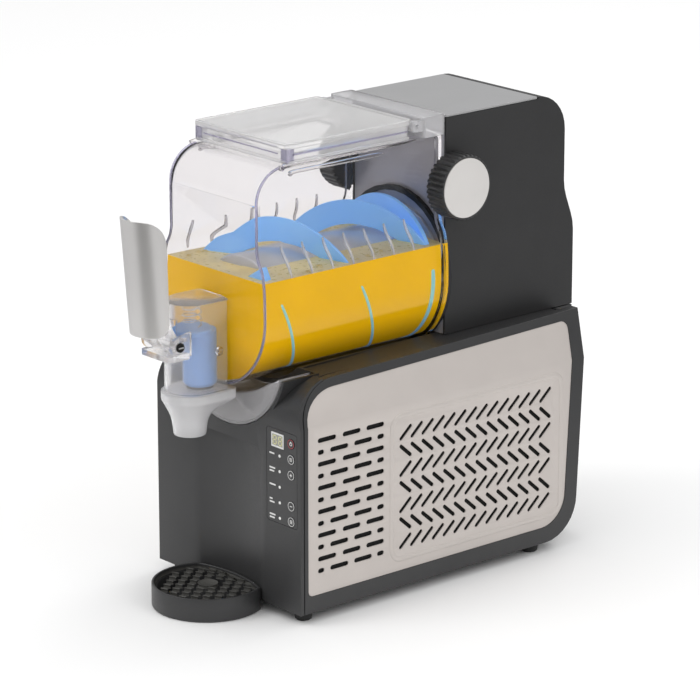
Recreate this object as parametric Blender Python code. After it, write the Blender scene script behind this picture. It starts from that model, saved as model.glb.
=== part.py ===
"""A counter-top slush machine: a housing with a cooling unit, a clear bowl round a chilled drum,
a spiral auger, a lid on a hinge, a lever tap and a drip tray.

Lengths are in millimetres and become metres when a mesh is made. X runs to the machine's right, Y
from its front to its back and Z up. The shapes are drawn with Y = 0 on the housing's front face and
Z = 0 on the table, and the whole machine is then moved so that its box is centred on the origin.
"""

import math

import bmesh
import bpy
from mathutils import Vector

MM = 0.001
CENTRE_Y = 129.75  # middle of the machine's depth, from the handle's front to the tower's back
GAP = 0.3  # between pieces that touch

# Housing
HALF_WIDTH = 103.6
UNDERSIDE = 10.0
CREASE = 186.0  # height above which the sides lean inwards
LEAN = 10.0 / 47.5  # inward millimetres for each millimetre of height
LEAN_FROM_X = 84.5
CORNER_Y, CORNER_Z = 45.0, 189.0  # middle of the rounded upper front edge
DECK = 228.0
COVER_BACK_Y, COVER_BACK_TOP = 354.0, 233.5
SHEET = 3.0
NICHE_RADIUS, NICHE_CENTRE_Y, NICHE_HALF, NICHE_TOP = 130.0, -120.0, 50.0, 158.0

# Bowl, drum and auger turn about this level line
AXIS_Z = 284.4
BOWL_RADIUS, BOWL_HALF, BOWL_TOP = 73.0, 62.0, 420.0
BOWL_FRONT, BOWL_BACK = -15.0, 203.0
BOWL_WALL, BOWL_BEND = 2.5, 32.0
AUGER_RADIUS, AUGER_INNER, AUGER_PITCH, AUGER_FRONT_Y = 68.5, 47.0, 190.0, -4.0
ARM_TURNS = (59.0, 239.0)  # where the arms stand, in degrees from the top
DRUM_RADIUS, DRUM_FRONT = 43.0, 12.0
SHAFT_RADIUS = 5.0

# Condensate catch under the front of the bowl
CATCH_Z, CATCH_RADIUS = 250.7, 80.0

# Tower behind the bowl
TOWER_HALF, TOWER_FRONT, TOWER_BACK, TOWER_TOP = 66.0, 208.0, 373.0, 438.0
TOWER_UPPER_BACK = 360.0
KNOB_Y, KNOB_Z, KNOB_RADIUS, KNOB_INNER_X, KNOB_OUTER_X = 213.5, 372.6, 31.0, 66.8, 89.4

# Lid
LID_HALF, LID_FRONT, LID_BACK, LID_TOP = 66.0, 17.0, 165.5, 440.0
HINGE_Y, HINGE_Z = 172.0, 433.0

# Tap
TAP_HALF, TAP_CENTRE_Y, TAP_BOTTOM, TAP_TOP = 24.0, -42.0, 211.2, 296.6
SPOUT_Y, SPOUT_BOTTOM = -43.5, 169.0
TAP_STEPS = 28  # points round the tap and the nozzle
PIVOT_Y, PIVOT_Z, PIVOT_RADIUS = -71.8, 260.3, 2.5
PISTON_Y, PISTON_RADIUS, PISTON_BOTTOM, FLANGE_Y, FLANGE_Z = -32.0, 15.0, 213.5, -40.0, 263.5

# Drip tray
TRAY_RADIUS, TRAY_Y, TRAY_TOP = 52.0, -25.0, 22.4

# Control panel
BUTTON_X, LAMP_X = 90.8, 74.5
BUTTON_HEIGHTS = {"power": 171.4, "mode": 156.6, "plus": 141.8, "minus": 112.3, "wash": 97.5}
LAMP_HEIGHTS = (156.1, 141.3, 126.5, 111.6, 96.8)

FINISHES = {
    "black_plastic": ((0.045, 0.045, 0.047), 0.42, 0.0),
    "dark_plastic": ((0.03, 0.03, 0.032), 0.5, 0.0),
    "silver_plate": ((0.62, 0.58, 0.55), 0.4, 0.6),
    "top_plate": ((0.46, 0.46, 0.47), 0.45, 0.4),
    "satin_silver": ((0.55, 0.54, 0.52), 0.35, 0.7),
    "clear_plastic": ((0.9, 0.92, 0.95), 0.08, 0.0),
    "frosted_plastic": ((0.8, 0.82, 0.85), 0.25, 0.0),
    "blue_plastic": ((0.22, 0.48, 0.85), 0.35, 0.0),
    "steel": ((0.6, 0.6, 0.62), 0.3, 1.0),
    "rubber": ((0.03, 0.03, 0.03), 0.75, 0.0),
    "copper_board": ((0.05, 0.25, 0.12), 0.5, 0.0),
    "display_glass": ((0.25, 0.26, 0.2), 0.15, 0.0),
    "lamp_white": ((0.85, 0.85, 0.82), 0.3, 0.0),
    "aluminium_fin": ((0.7, 0.71, 0.72), 0.4, 1.0),
    "painted_steel": ((0.02, 0.02, 0.022), 0.35, 0.2),
}
CLEAR = ("clear_plastic", "frosted_plastic")

for old in list(bpy.data.objects):
    bpy.data.objects.remove(old)

machine = bpy.data.objects.new("machine", None)
machine.location = (0, -CENTRE_Y * MM, 0)
bpy.context.scene.collection.objects.link(machine)


# ---------------------------------------------------------------- finishes


def finish_of(name):
    """The named material, made once."""
    if name in bpy.data.materials:
        return bpy.data.materials[name]
    colour, roughness, metallic = FINISHES[name]
    material = bpy.data.materials.new(name)
    material.use_nodes = True
    shader = material.node_tree.nodes["Principled BSDF"]
    shader.inputs["Base Color"].default_value = (*colour, 1)
    shader.inputs["Roughness"].default_value = roughness
    shader.inputs["Metallic"].default_value = metallic
    shader.inputs["Transmission Weight"].default_value = 0.9 if name in CLEAR else 0.0
    return material


# ---------------------------------------------------------------- shapes


def loft(rings, closed=False):
    """A solid through rings of the same number of points: capped at both ends, or closed on itself."""
    shape = bmesh.new()
    rows = [[shape.verts.new(point) for point in ring] for ring in rings]
    following_rows = rows[1:] + rows[:1] if closed else rows[1:]
    for row, following in zip(rows, following_rows):
        for i in range(len(row)):
            j = (i + 1) % len(row)
            shape.faces.new((row[i], row[j], following[j], following[i]))
    if not closed:
        shape.faces.new(rows[0][::-1])
        shape.faces.new(rows[-1])
    bmesh.ops.recalc_face_normals(shape, faces=shape.faces)
    return shape


def across(axis, a, b, along):
    """The point at a, b on the plane across an axis, and at `along` on the axis."""
    return {"X": (along, a, b), "Y": (a, along, b), "Z": (a, b, along)}[axis]


def prism(outline, axis, low, high):
    return loft([[across(axis, a, b, along) for a, b in outline] for along in (low, high)])


def box(low, high):
    return prism([(low[0], low[1]), (high[0], low[1]), (high[0], high[1]), (low[0], high[1])], "Z", low[2], high[2])


def circle(radius, centre=(0.0, 0.0), steps=32):
    return arc(centre, (radius, radius), 0, 360, steps)[:-1]


def arc(centre, radii, start, end, steps):
    """Points along an ellipse's arc, in degrees from the first direction."""
    turns = [math.radians(start + (end - start) * i / steps) for i in range(steps + 1)]
    return [(centre[0] + radii[0] * math.cos(t), centre[1] + radii[1] * math.sin(t)) for t in turns]


def stack(profile, axis, centre, steps=32):
    """A turned solid from (radius, along) pairs; it may turn back inside itself to make a cup."""
    return loft([[across(axis, a, b, along) for a, b in circle(r, centre, steps)] for r, along in profile])


def turned_ring(profile, axis, centre, steps=32):
    """A turned ring from a closed profile of (radius, along) pairs."""
    turns = [Vector(point) for point in circle(1.0, steps=steps)]
    middle = Vector(centre)
    return loft([[across(axis, *(middle + t * r), along) for r, along in profile] for t in turns], closed=True)


def rounded(low, high, radius, steps=4):
    """A rectangle with round corners."""
    left, right, front, back = low[0] + radius, high[0] - radius, low[1] + radius, high[1] - radius
    points = []
    for i, centre in enumerate(((right, back), (left, back), (left, front), (right, front))):
        points += arc(centre, (radius, radius), 90 * i, 90 * i + 90, steps)
    return points


def together(*shapes):
    """One mesh that holds several separate shapes, for cutting."""
    joined = bmesh.new()
    for shape in shapes:
        spare = bpy.data.meshes.new("spare")
        shape.to_mesh(spare)
        shape.free()
        joined.from_mesh(spare)
        bpy.data.meshes.remove(spare)
    return joined


def piece(name, shape, finish, pivot=(0.0, 0.0, 0.0), smooth_below=35):
    """A named object from a shape, with its origin at the pivot."""
    bmesh.ops.translate(shape, verts=shape.verts, vec=-Vector(pivot))
    bmesh.ops.scale(shape, verts=shape.verts, vec=(MM, MM, MM))
    mesh = bpy.data.meshes.new(name)
    shape.to_mesh(mesh)
    shape.free()
    made = bpy.data.objects.new(name, mesh)
    bpy.context.scene.collection.objects.link(made)
    made.parent = machine
    made.location = Vector(pivot) * MM
    mesh.materials.append(finish_of(finish))
    shade(made, smooth_below)
    return made


def shade(made, smooth_below=35):
    made.data.shade_smooth()
    made.data.set_sharp_from_angle(angle=math.radians(smooth_below))


def combine(made, shape, operation):
    """Cuts a shape from a piece, joins it on, or keeps what they share."""
    tool = piece("tool", shape, "dark_plastic")
    change = made.modifiers.new(operation, "BOOLEAN")
    change.operation = operation
    change.object = tool
    change.solver = "EXACT"
    bpy.context.view_layer.update()
    finished = bpy.data.meshes.new_from_object(made.evaluated_get(bpy.context.evaluated_depsgraph_get()))
    made.modifiers.clear()
    finished.name = made.name
    made.data = finished
    bpy.data.objects.remove(tool)
    material = made.data.materials[0]
    made.data.materials.clear()
    made.data.materials.append(material)
    shade(made)
    return made


def cut(made, *shapes):
    return combine(made, together(*shapes), "DIFFERENCE")


def join(made, *shapes):
    for shape in shapes:
        combine(made, shape, "UNION")
    return made


def lean(made):
    """Leans what lies beyond the housing's core inwards above the crease."""
    shape = bmesh.new()
    shape.from_mesh(made.data)
    everything = shape.verts[:] + shape.edges[:] + shape.faces[:]
    bmesh.ops.bisect_plane(shape, geom=everything, plane_co=(0, 0, CREASE * MM), plane_no=(0, 0, 1), dist=1e-6)
    for vertex in shape.verts:
        if abs(vertex.co.x) > LEAN_FROM_X * MM and vertex.co.z > CREASE * MM:
            vertex.co.x -= math.copysign((vertex.co.z - CREASE * MM) * LEAN, vertex.co.x)
    shape.to_mesh(made.data)
    shape.free()
    shade(made)


# ---------------------------------------------------------------- housing


def base_plate():
    made = piece("base_plate", prism(rounded((-94, 15), (94, 335), 8), "Z", 10.4, 13.4), "painted_steel")
    slots = [box((-40 + 16 * i, 120, 5), (-34 + 16 * i, 200, 20)) for i in range(6)]
    cut(made, *slots)


def niche_chord(radius):
    """The plan of the concave niche, from the front face to its curved wall."""
    half = NICHE_HALF + (radius - NICHE_RADIUS)
    reach = math.degrees(math.asin(half / radius))
    wall = arc((0, NICHE_CENTRE_Y), (radius, radius), 90 - reach, 90 + reach, 12)
    return wall + [(-half, -5.0), (half, -5.0)]


def niche_cutter():
    """The niche as upright slices, so that its top has round corners."""
    rings = []
    corner = 12.0
    for i in range(15):
        x = -NICHE_HALF + 2 * NICHE_HALF * i / 14
        beyond = max(0.0, abs(x) - (NICHE_HALF - corner))
        top = NICHE_TOP - corner + math.sqrt(corner**2 - beyond**2)
        back = NICHE_CENTRE_Y + math.sqrt(NICHE_RADIUS**2 - x**2)
        rings.append([(x, -5, 0), (x, -5, top), (x, back, top), (x, back, 0)])
    return loft(rings)


def front_shell():
    outer = [(0.0, UNDERSIDE), *arc((CORNER_Y, CORNER_Z), (45.0, 37.0), 180, 90, 8), (200.0, DECK), (345.0, DECK)]
    inner = [
        (345.0, DECK - SHEET),
        (200.0, DECK - SHEET),
        *arc((CORNER_Y, CORNER_Z), (42.0, 34.0), 90, 180, 8),
        (SHEET, UNDERSIDE),
    ]
    made = piece("front_shell", prism(outer + inner, "X", -84, 84), "black_plastic")
    rim_outer = [(0.0, UNDERSIDE), *arc((CORNER_Y, CORNER_Z), (45.0, 39.5), 180, 105, 8)]
    rim_inner = [*arc((CORNER_Y, CORNER_Z), (41.2, 38.0), 105, 180, 8), (3.8, UNDERSIDE)]
    rim = rim_outer + rim_inner
    join(made, prism(rim, "X", -HALF_WIDTH, -83), prism(rim, "X", 83, HALF_WIDTH))
    join(made, prism([(x, max(y, 0.5)) for x, y in niche_chord(NICHE_RADIUS + 3)], "Z", UNDERSIDE, NICHE_TOP + 3))
    trough = arc((0, AXIS_Z), (80.5, 80.5), 225.5, 314.5, 16)
    join(made, prism(trough, "Y", 40, 207.9))
    pocket = arc((0, CATCH_Z), (83.5, 83.5), 196.5, 343.5, 20)
    join(made, prism(pocket, "Y", 1.0, 42.5))
    cut(made, prism(circle(CATCH_RADIUS + 1, (0, CATCH_Z), 36), "Y", -5, 40))
    cut(made, prism(circle(78, (0, AXIS_Z), 36), "Y", 38, 208.2))
    cut(made, niche_cutter())
    cut(made, box((-50, 228, 220), (50, 335, 240)), prism(rounded((56, 91.5), (99, 181), 3), "Y", -1, 0.9))
    holes = [prism(circle(4.9, (BUTTON_X, z), 12), "Y", -2, 8) for z in BUTTON_HEIGHTS.values()]
    holes += [prism(circle(1.6, (LAMP_X, z), 6), "Y", -2, 8) for z in LAMP_HEIGHTS]
    holes.append(box((62.5, -2, 163), (80.5, 8, 177.5)))
    cut(made, *holes)
    lean(made)


def cover_outline(inset=0.0):
    """A side cover's outline, seen from the side."""
    front, back, low = 5.0 + inset, COVER_BACK_Y - inset, UNDERSIDE + inset
    foot = 40.0 - inset
    return [
        (front, low),
        *arc((CORNER_Y, CORNER_Z), (40.0 - inset, 37.6 - inset), 180, 90, 8),
        (back, COVER_BACK_TOP - inset),
        (back, CREASE),
        (back - 7, low + foot),
        *arc((back - 7 - foot, low + foot), (foot, foot), 0, -90, 8)[1:],
    ]


def vent_outline(inset=0.0):
    """The outline of the perforated plate in a side cover."""
    front, back, low = 9.8 + inset, 338.0 - inset, 26.3 + inset
    foot, corner = 30.0 - inset, 8.0
    top = 224.0 - inset
    return [
        *arc((front + 5, low + 5), (5.0, 5.0), 270, 180, 3),
        *arc((CORNER_Y, CORNER_Z), (35.2 - inset, 29.0 - inset), 180, 90, 8),
        *arc((back - corner, top - corner), (corner, corner), 90, 0, 4),
        (back, CREASE),
        (back - 7, low + foot),
        *arc((back - 7 - foot, low + foot), (foot, foot), 0, -90, 8)[1:],
    ]


def side_cover(side, name):
    def slab(outline, low, high):
        return prism(outline, "X", *sorted((side * low, side * high)))

    made = piece(name, slab(cover_outline(), 95, HALF_WIDTH), "black_plastic")
    cut(made, slab(cover_outline(2.5), 90, 100.6))
    cut(made, slab(vent_outline(-0.4), 101.6, 110))
    cut(made, slab(vent_outline(4.0), 98, 110))
    lean(made)


def slanted_slot(side, y, z, length, lift, width):
    """A straight slot that climbs by `lift` over its length."""
    run = Vector((length, lift))
    half = run.orthogonal().normalized() * width / 2
    start = Vector((y, z)) - run / 2
    corners = [start - half, start + run - half, start + run + half, start + half]
    return prism([tuple(c) for c in corners], "X", *sorted((side * 100, side * 105)))


def vent_slots(side):
    """A front group of level slots and a rear group in chevrons."""
    slots = [slanted_slot(side, y, 161.4 - 22.6 * row, 22.0, 0.0, 5.0) for row in range(6) for y in (32.5, 59.0, 85.5)]
    for row in range(7):
        lift = 12.0 if row % 2 == 0 else -12.0
        slots += [slanted_slot(side, 130.0 + 27.8 * i, 157.0 - 17.2 * row, 11.0, lift, 4.4) for i in range(7)]
    return slots


def vent_plate(side, name):
    plate = prism(vent_outline(), "X", *sorted((side * 101.9, side * 103.1)))
    made = piece(name, plate, "silver_plate")
    cut(made, *vent_slots(side))
    lean(made)


def rear_panel():
    """The housing's back: a middle that stands out under the tower, and a wing behind each side cover."""
    top, foot = DECK - 0.6, (COVER_BACK_Y - 47.0, UNDERSIDE + 40.0)
    outer = [(351.5, top), (351.5, CREASE), *arc(foot, (37.7, 37.7), 0, -72, 6)]
    inner = [*arc(foot, (34.7, 34.7), -70, 0, 6), (348.5, CREASE), (348.5, top)]
    made = piece("rear_panel", prism([*outer, (TOWER_BACK, 14.1), (TOWER_BACK, top)], "X", -66, 66), "black_plastic")
    join(made, prism(outer + inner, "X", -94, 94))
    cut(made, box((-63, 300, 5), (63, TOWER_BACK - 3, 240)))
    cut(made, *[box((-45, 365, 120 + 11 * i), (45, 378, 125 + 11 * i)) for i in range(8)])
    cut(made, box((-60.3, 365, 29.7), (-19.7, 378, 64.3)))
    lean(made)


def power_inlet():
    """A three-pin mains inlet, flush in the back."""
    made = piece("power_inlet", box((-60, 369, 30), (-20, TOWER_BACK, 64)), "dark_plastic")
    join(made, box((-57, 352, 33), (-23, 370, 61)))
    cut(made, prism(rounded((-53, 37), (-27, 57), 3), "Y", 357, 380))
    pins = [box((x - 1, 356, z - 2), (x + 1, 368, z + 2)) for x, z in ((-46, 45), (-34, 45), (-40, 50))]
    join(made, *pins)


def foot(name, x, y):
    profile = [(7.0, 0.0), (8.0, 1.5), (8.6, 9.0), (7.5, 9.6)]
    piece(name, stack(profile, "Z", (x, y), 12), "rubber")


# ---------------------------------------------------------------- tower


def tower_side_outline(inset, bottom, front, top):
    """The tower from the side: a round upper back corner, then a step out to a fuller lower back."""
    corner = 36.0 - inset
    upper, lower = TOWER_UPPER_BACK - inset, TOWER_BACK - inset
    back = []
    for i in range(7):
        share = i / 6
        ease = share * share * (3 - 2 * share)
        back.append((upper + (lower - upper) * ease, 352.0 - 50.0 * share))
    bend = arc((TOWER_UPPER_BACK - 36.0, TOWER_TOP - 36.0), (corner, corner), 90, 0, 8)[1:]
    return [(front, bottom), (front, top), (324.6, top), (324.6, TOWER_TOP - inset), *bend, *back, (lower, bottom)]


def tower_shell():
    outer = tower_side_outline(0.0, DECK + GAP, TOWER_FRONT, TOWER_TOP - 2.3)
    made = piece("tower_shell", prism(outer, "X", -TOWER_HALF, TOWER_HALF), "dark_plastic")
    inner = tower_side_outline(2.5, DECK - 5, TOWER_FRONT - 5, TOWER_TOP - 4.8)
    cut(made, prism(inner, "X", -TOWER_HALF + 2.5, TOWER_HALF - 2.5))
    cut(made, prism(circle(3.4, (KNOB_Y, KNOB_Z), 16), "X", -70, 70))


def tower_front_panel():
    half = TOWER_HALF - 2.8
    panel = box((-half, TOWER_FRONT + 0.3, DECK + GAP), (half, TOWER_FRONT + 2.2, TOWER_TOP - 5.2))
    made = piece("tower_front_panel", panel, "dark_plastic")
    cut(made, prism(circle(12.4, (0, AXIS_Z), 24), "Y", 200, 220))


def tower_top_plate():
    outline = rounded((-TOWER_HALF, TOWER_FRONT), (TOWER_HALF, 324.2), 2, 2)
    piece("tower_top_plate", prism(outline, "Z", TOWER_TOP - 2.0, TOWER_TOP), "top_plate")


def lock_knob(side, name):
    """A fluted knob with a thin shaft through the tower's wall and a bright cap."""
    ridges = 28
    outline = []
    for i in range(2 * ridges):
        t = 2 * math.pi * (i + 0.25) / (2 * ridges)
        r = KNOB_RADIUS if i % 2 else KNOB_RADIUS - 1.6
        outline.append((KNOB_Y + r * math.cos(t), KNOB_Z + r * math.sin(t)))
    pivot = (side * KNOB_INNER_X, KNOB_Y, KNOB_Z)
    spread = sorted((side * KNOB_INNER_X, side * (KNOB_OUTER_X - 0.4)))
    made = piece(f"{name}_lock_knob", prism(outline, "X", *spread), "black_plastic", pivot)
    recess = prism(circle(28.4, (KNOB_Y, KNOB_Z), 36), "X", *sorted((side * (KNOB_OUTER_X - 2.3), side * 95)))
    cut(made, recess, prism(circle(3.3, (KNOB_Y, KNOB_Z), 16), "X", *sorted((side * 60, side * 76))))
    cap = prism(circle(28.0, (KNOB_Y, KNOB_Z), 36), "X", *sorted((side * (KNOB_OUTER_X - 2.0), side * KNOB_OUTER_X)))
    piece(f"{name}_knob_cap", cap, "satin_silver", pivot)
    shaft = prism(circle(3.0, (KNOB_Y, KNOB_Z), 16), "X", *sorted((side * 58, side * 75.7)))
    piece(f"{name}_lock_shaft", shaft, "steel", pivot)


# ---------------------------------------------------------------- cooling unit and drive


def cooling_unit():
    pot = [(30.0, 13.8), (46.0, 15.5), (48.0, 30.0), (48.0, 100.0), (42.0, 118.0), (24.0, 128.0)]
    piece("compressor", stack(pot, "Z", (-36, 262), 20), "painted_steel")
    fins = [box((60, 153 + 13 * i, 34), (63.5, 157 + 13 * i, 166)) for i in range(12)]
    made = piece("condenser", box((62, 150, 30), (84, 310, 170)), "aluminium_fin")
    cut(made, *fins)
    shroud = prism(rounded((180, 45), (290, 155), 6), "X", 46, 60)
    made = piece("fan_shroud", shroud, "dark_plastic")
    cut(made, prism(circle(50.5, (235, 100), 28), "X", 40, 66))
    join(made, prism(circle(13, (235, 100), 20), "X", 57.5, 60))
    struts = [box((57.5, 233, 46), (60, 237, 154)), box((57.5, 181, 98), (60, 289, 102))]
    join(made, *struts)
    piece("fan_motor", prism(circle(17, (235, 100), 24), "X", 22, 41), "steel")


def fan_rotor():
    pivot = (49, 235, 100)
    made = piece("fan_rotor", prism(circle(14, (235, 100), 24), "X", 43, 56), "dark_plastic", pivot)
    for i in range(5):
        turn = 2 * math.pi * i / 5
        rings = []
        for r, half_run in ((13.5, 6.0), (28.0, 12.0), (46.0, 16.0)):
            ring = []
            for x, along in ((44.5, -1.0), (46.3, -1.0), (55.0, 1.0), (53.2, 1.0)):
                t = turn + along * half_run / r
                ring.append((x, 235 + r * math.cos(t), 100 + r * math.sin(t)))
            rings.append(ring)
        join(made, loft(rings))


def drive():
    centre = (0, AXIS_Z)
    motor = [(34.0, 214.0), (36.0, 216.0), (36.0, 232.0), (28.0, 233.0), (28.0, 296.0), (25.0, 300.0)]
    piece("gear_motor", stack(motor, "Y", centre, 20), "steel")
    bracket = prism(rounded((-58, 236), (58, 334), 6), "Y", 211.2, 213.6)
    cut(piece("motor_bracket", bracket, "painted_steel"), prism(circle(7, centre, 20), "Y", 205, 220))
    shaft = stack([(4.4, -3.7), (SHAFT_RADIUS, -3.0), (SHAFT_RADIUS, 213.6)], "Y", centre, 20)
    piece("drive_shaft", shaft, "steel", (0, 0, AXIS_Z))
    seal = [(SHAFT_RADIUS + 0.1, 206.0), (11.0, 206.0), (12.0, 207.0), (12.0, 210.8), (SHAFT_RADIUS + 0.1, 210.8)]
    piece("shaft_seal", turned_ring(seal, "Y", centre, 16), "rubber")
    bush = [(SHAFT_RADIUS + 0.1, 9.5), (10.0, 9.5), (10.0, 11.6), (8.0, 11.6), (8.0, 16.0), (SHAFT_RADIUS + 0.1, 16.0)]
    piece("shaft_bush", turned_ring(bush, "Y", centre, 16), "frosted_plastic")
    front, wall = DRUM_FRONT, 1.7
    drum = [
        (DRUM_RADIUS, 205.5),
        (60.0, 205.5),
        (60.0, TOWER_FRONT),
        (DRUM_RADIUS - wall, TOWER_FRONT),
        (DRUM_RADIUS - wall, front + 2.5),
        (8.3, front + 2.5),
        (8.3, front),
        (DRUM_RADIUS - 4, front),
        (DRUM_RADIUS - 1.2, front + 1.2),
        (DRUM_RADIUS, front + 4),
    ]
    piece("evaporator_drum", turned_ring(drum, "Y", centre, 32), "steel")


def spiral_point(radius, degrees, y):
    """A point on the auger: degrees count from the top towards the machine's right."""
    t = math.radians(degrees)
    return (radius * math.sin(t), y, AXIS_Z + radius * math.cos(t))


def auger_ribbon(start):
    """One turn of the ribbon, from an arm to the ring at the back."""
    turn, count = 366.0, 30
    rings = []
    for i in range(count + 1):
        degrees = start + turn * i / count
        y = AUGER_FRONT_Y + AUGER_PITCH * turn * i / count / 360
        rings.append(
            [
                spiral_point(AUGER_INNER, degrees, y - 1.5),
                spiral_point(AUGER_RADIUS, degrees, y - 1.5),
                spiral_point(AUGER_RADIUS, degrees, y + 1.5),
                spiral_point(AUGER_INNER, degrees, y + 1.5),
            ]
        )
    return loft(rings)


def auger():
    """Two ribbon spirals, half a turn apart, between a ring at their back and two arms on a hub."""
    made = piece("auger", auger_ribbon(ARM_TURNS[0]), "blue_plastic", (0, 0, AXIS_Z))
    join(made, auger_ribbon(ARM_TURNS[1]))
    ring = [(AUGER_INNER, 187.5), (AUGER_RADIUS, 187.5), (AUGER_RADIUS, 192.0), (AUGER_INNER, 192.0)]
    join(made, turned_ring(ring, "Y", (0, AXIS_Z), 36))
    join(made, stack([(9.0, -9.0), (12.0, -6.5), (12.0, 8.5)], "Y", (0, AXIS_Z), 24))
    for turn, tip, half, high in ((ARM_TURNS[0], 67, 7, 3.6), (ARM_TURNS[1], 64, 5, 0.0)):
        plan = ((7, -60), (7, 60), (tip, half), (tip, -half))
        join(made, loft([[spiral_point(r, turn + a, y) for r, a in plan] for y in (-4.0, high)]))
    cut(made, prism(circle(SHAFT_RADIUS + 0.3, (0, AXIS_Z), 20), "Y", -4, 20))


# ---------------------------------------------------------------- bowl and lid


def hopper_outline(top, inset, flare=0.0):
    """The bowl across its length: half a tube below, shoulders, then an upright box."""
    r, half = BOWL_RADIUS - inset + flare, BOWL_HALF - inset + flare
    right = [(r * math.cos(math.radians(a)), AXIS_Z + r * math.sin(math.radians(a))) for a in range(-81, 1, 9)]
    right += [(r - 1.0, 318.0), (half + 7.0, 328.0), (half + 2.0, 337.0), (half, 343.0)]
    right += [(half, top - 4 - flare), (half - 4, top - inset + min(flare, 1.0))]
    left = [(-x, z) for x, z in reversed(right)]
    return [(0.0, AXIS_Z - r), *right, *left]


def hopper_ring(y, inset, flare=0.0):
    """The bowl's outline at y, lowered where its top bends down into its front."""
    bend = BOWL_BEND - inset
    before = BOWL_FRONT + BOWL_BEND - y
    drop = bend - math.sqrt(max(0.0, bend**2 - max(0.0, before) ** 2))
    return [(x, y, z) for x, z in hopper_outline(BOWL_TOP - drop, inset, flare)]


def bowl():
    front = BOWL_FRONT
    bends = (0.0, 1.5, 5.0, 11.0, 20.0, 32.0)
    outer = [hopper_ring(front + y, 0.0) for y in bends]
    outer += [hopper_ring(197.0, 0.0), hopper_ring(197.4, 0.0, 3.2), hopper_ring(BOWL_BACK, 0.0, 3.2)]
    wall = BOWL_WALL
    inner = [hopper_ring(BOWL_BACK, wall)]
    inner += [hopper_ring(front + y + (wall if y < 1 else wall * (1 - y / 32)), wall) for y in reversed(bends)]
    made = piece("bowl", loft(outer + inner), "clear_plastic")
    join(made, prism(rounded((-55, 28), (55, 155), 6), "Z", 418.5, 428))
    cut(made, prism(rounded((-52.5, 30.5), (52.5, 152.5), 4), "Z", 410, 435))
    cut(made, prism(rounded((-18, 219), (18, 256), 8), "Y", -20, -10))


def rear_cover():
    """The fixed clear strip between the lid and the tower, which carries the lid's hinge pin."""
    rings = [
        [(x, y, z) for x, y in rounded((-LID_HALF + d, 180.5 + d), (LID_HALF - d, 207.5 - d), 3 - d, 3)]
        for z, d in ((420.3, 0.0), (LID_TOP - 1.0, 0.0), (LID_TOP, 1.0))
    ]
    made = piece("hopper_rear_cover", loft(rings), "clear_plastic")
    cut(made, prism(rounded((-LID_HALF + 2.5, 183), (LID_HALF - 2.5, 205), 1, 2), "Z", 415, LID_TOP - 2.5))
    ear = [(-4.5, -3), (-3, 4), (10, 4), (10, -6), (0, -6)]
    ear = [(HINGE_Y + y, HINGE_Z + z) for y, z in ear]
    for side in (-1, 1):
        join(made, prism(ear, "X", *sorted((side * 60.5, side * 65.5))))
    cut(made, prism(circle(1.9, (HINGE_Y, HINGE_Z), 12), "X", -70, 70))


def lid():
    """A shallow clear tray, upside down, with a knuckle bar at its back for the hinge pin."""
    pivot = (0, HINGE_Y, HINGE_Z)

    def outline(inset, corner):
        return rounded((-LID_HALF + inset, LID_FRONT + inset), (LID_HALF - inset, LID_BACK - inset), corner, 4)

    rings = [(421.5, 0.0, 4.0), (LID_TOP - 1.2, 0.0, 4.0), (LID_TOP, 1.2, 3.0)]
    rings = [[(x, y, z) for x, y in outline(inset, corner)] for z, inset, corner in rings]
    made = piece("lid", loft(rings), "clear_plastic", pivot)
    cut(made, prism(outline(2.5, 2.0), "Z", 415, LID_TOP - 2.5))
    knuckle = [(LID_BACK - 1.5, HINGE_Z + 5.5), (HINGE_Y, HINGE_Z + 5.5)]
    knuckle += arc((HINGE_Y, HINGE_Z), (4.2, 4.2), 60, -120, 8)
    knuckle += [(LID_BACK - 1.5, HINGE_Z - 2.0)]
    join(made, prism(knuckle, "X", -58, 58))
    cut(made, prism(circle(1.9, (HINGE_Y, HINGE_Z), 12), "X", -70, 70))


# ---------------------------------------------------------------- tap


def tap_outline(half, back, centre_y):
    """A plan with a round front and a square back, as points at even angles about its centre."""
    points = []
    for i in range(TAP_STEPS):
        t = 2 * math.pi * i / TAP_STEPS
        c, s = math.cos(t), math.sin(t)
        reach = half if s <= 1e-9 else 1 / max(abs(c) / half, s / (back - centre_y))
        points.append((reach * c, centre_y + reach * s))
    return points


def tap_body():
    back = BOWL_FRONT - 0.4
    levels = ((TAP_BOTTOM, 0.0), (TAP_TOP - 5, 0.0), (TAP_TOP - 1.5, 1.5), (TAP_TOP, 5.0))
    rings = [[(x, y, z) for x, y in tap_outline(TAP_HALF - inset, back, TAP_CENTRE_Y)] for z, inset in levels]
    made = piece("tap_body", loft(rings), "frosted_plastic")
    ear = [(-58.0, 250.0), (-58.0, 272.0), *arc((PIVOT_Y, PIVOT_Z), (9.0, 9.0), 90, 270, 8)]
    for side in (-1, 1):
        join(made, prism(ear, "X", *sorted((side * 18.2, side * 22))))
    join(made, prism(rounded((-21, -82.7), (21, -58), 3), "Z", 246.9, 252.3))
    hollow = tap_outline(TAP_HALF - 2.2, -8.0, TAP_CENTRE_Y)
    cut(made, prism(hollow, "Z", TAP_BOTTOM - 5, TAP_TOP - 2.3))
    cut(made, prism(circle(PIVOT_RADIUS + 0.3, (PIVOT_Y, PIVOT_Z), 16), "X", -30, 30))
    cut(made, box((-7.5, -72, 253), (7.5, -58, 281)))


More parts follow.
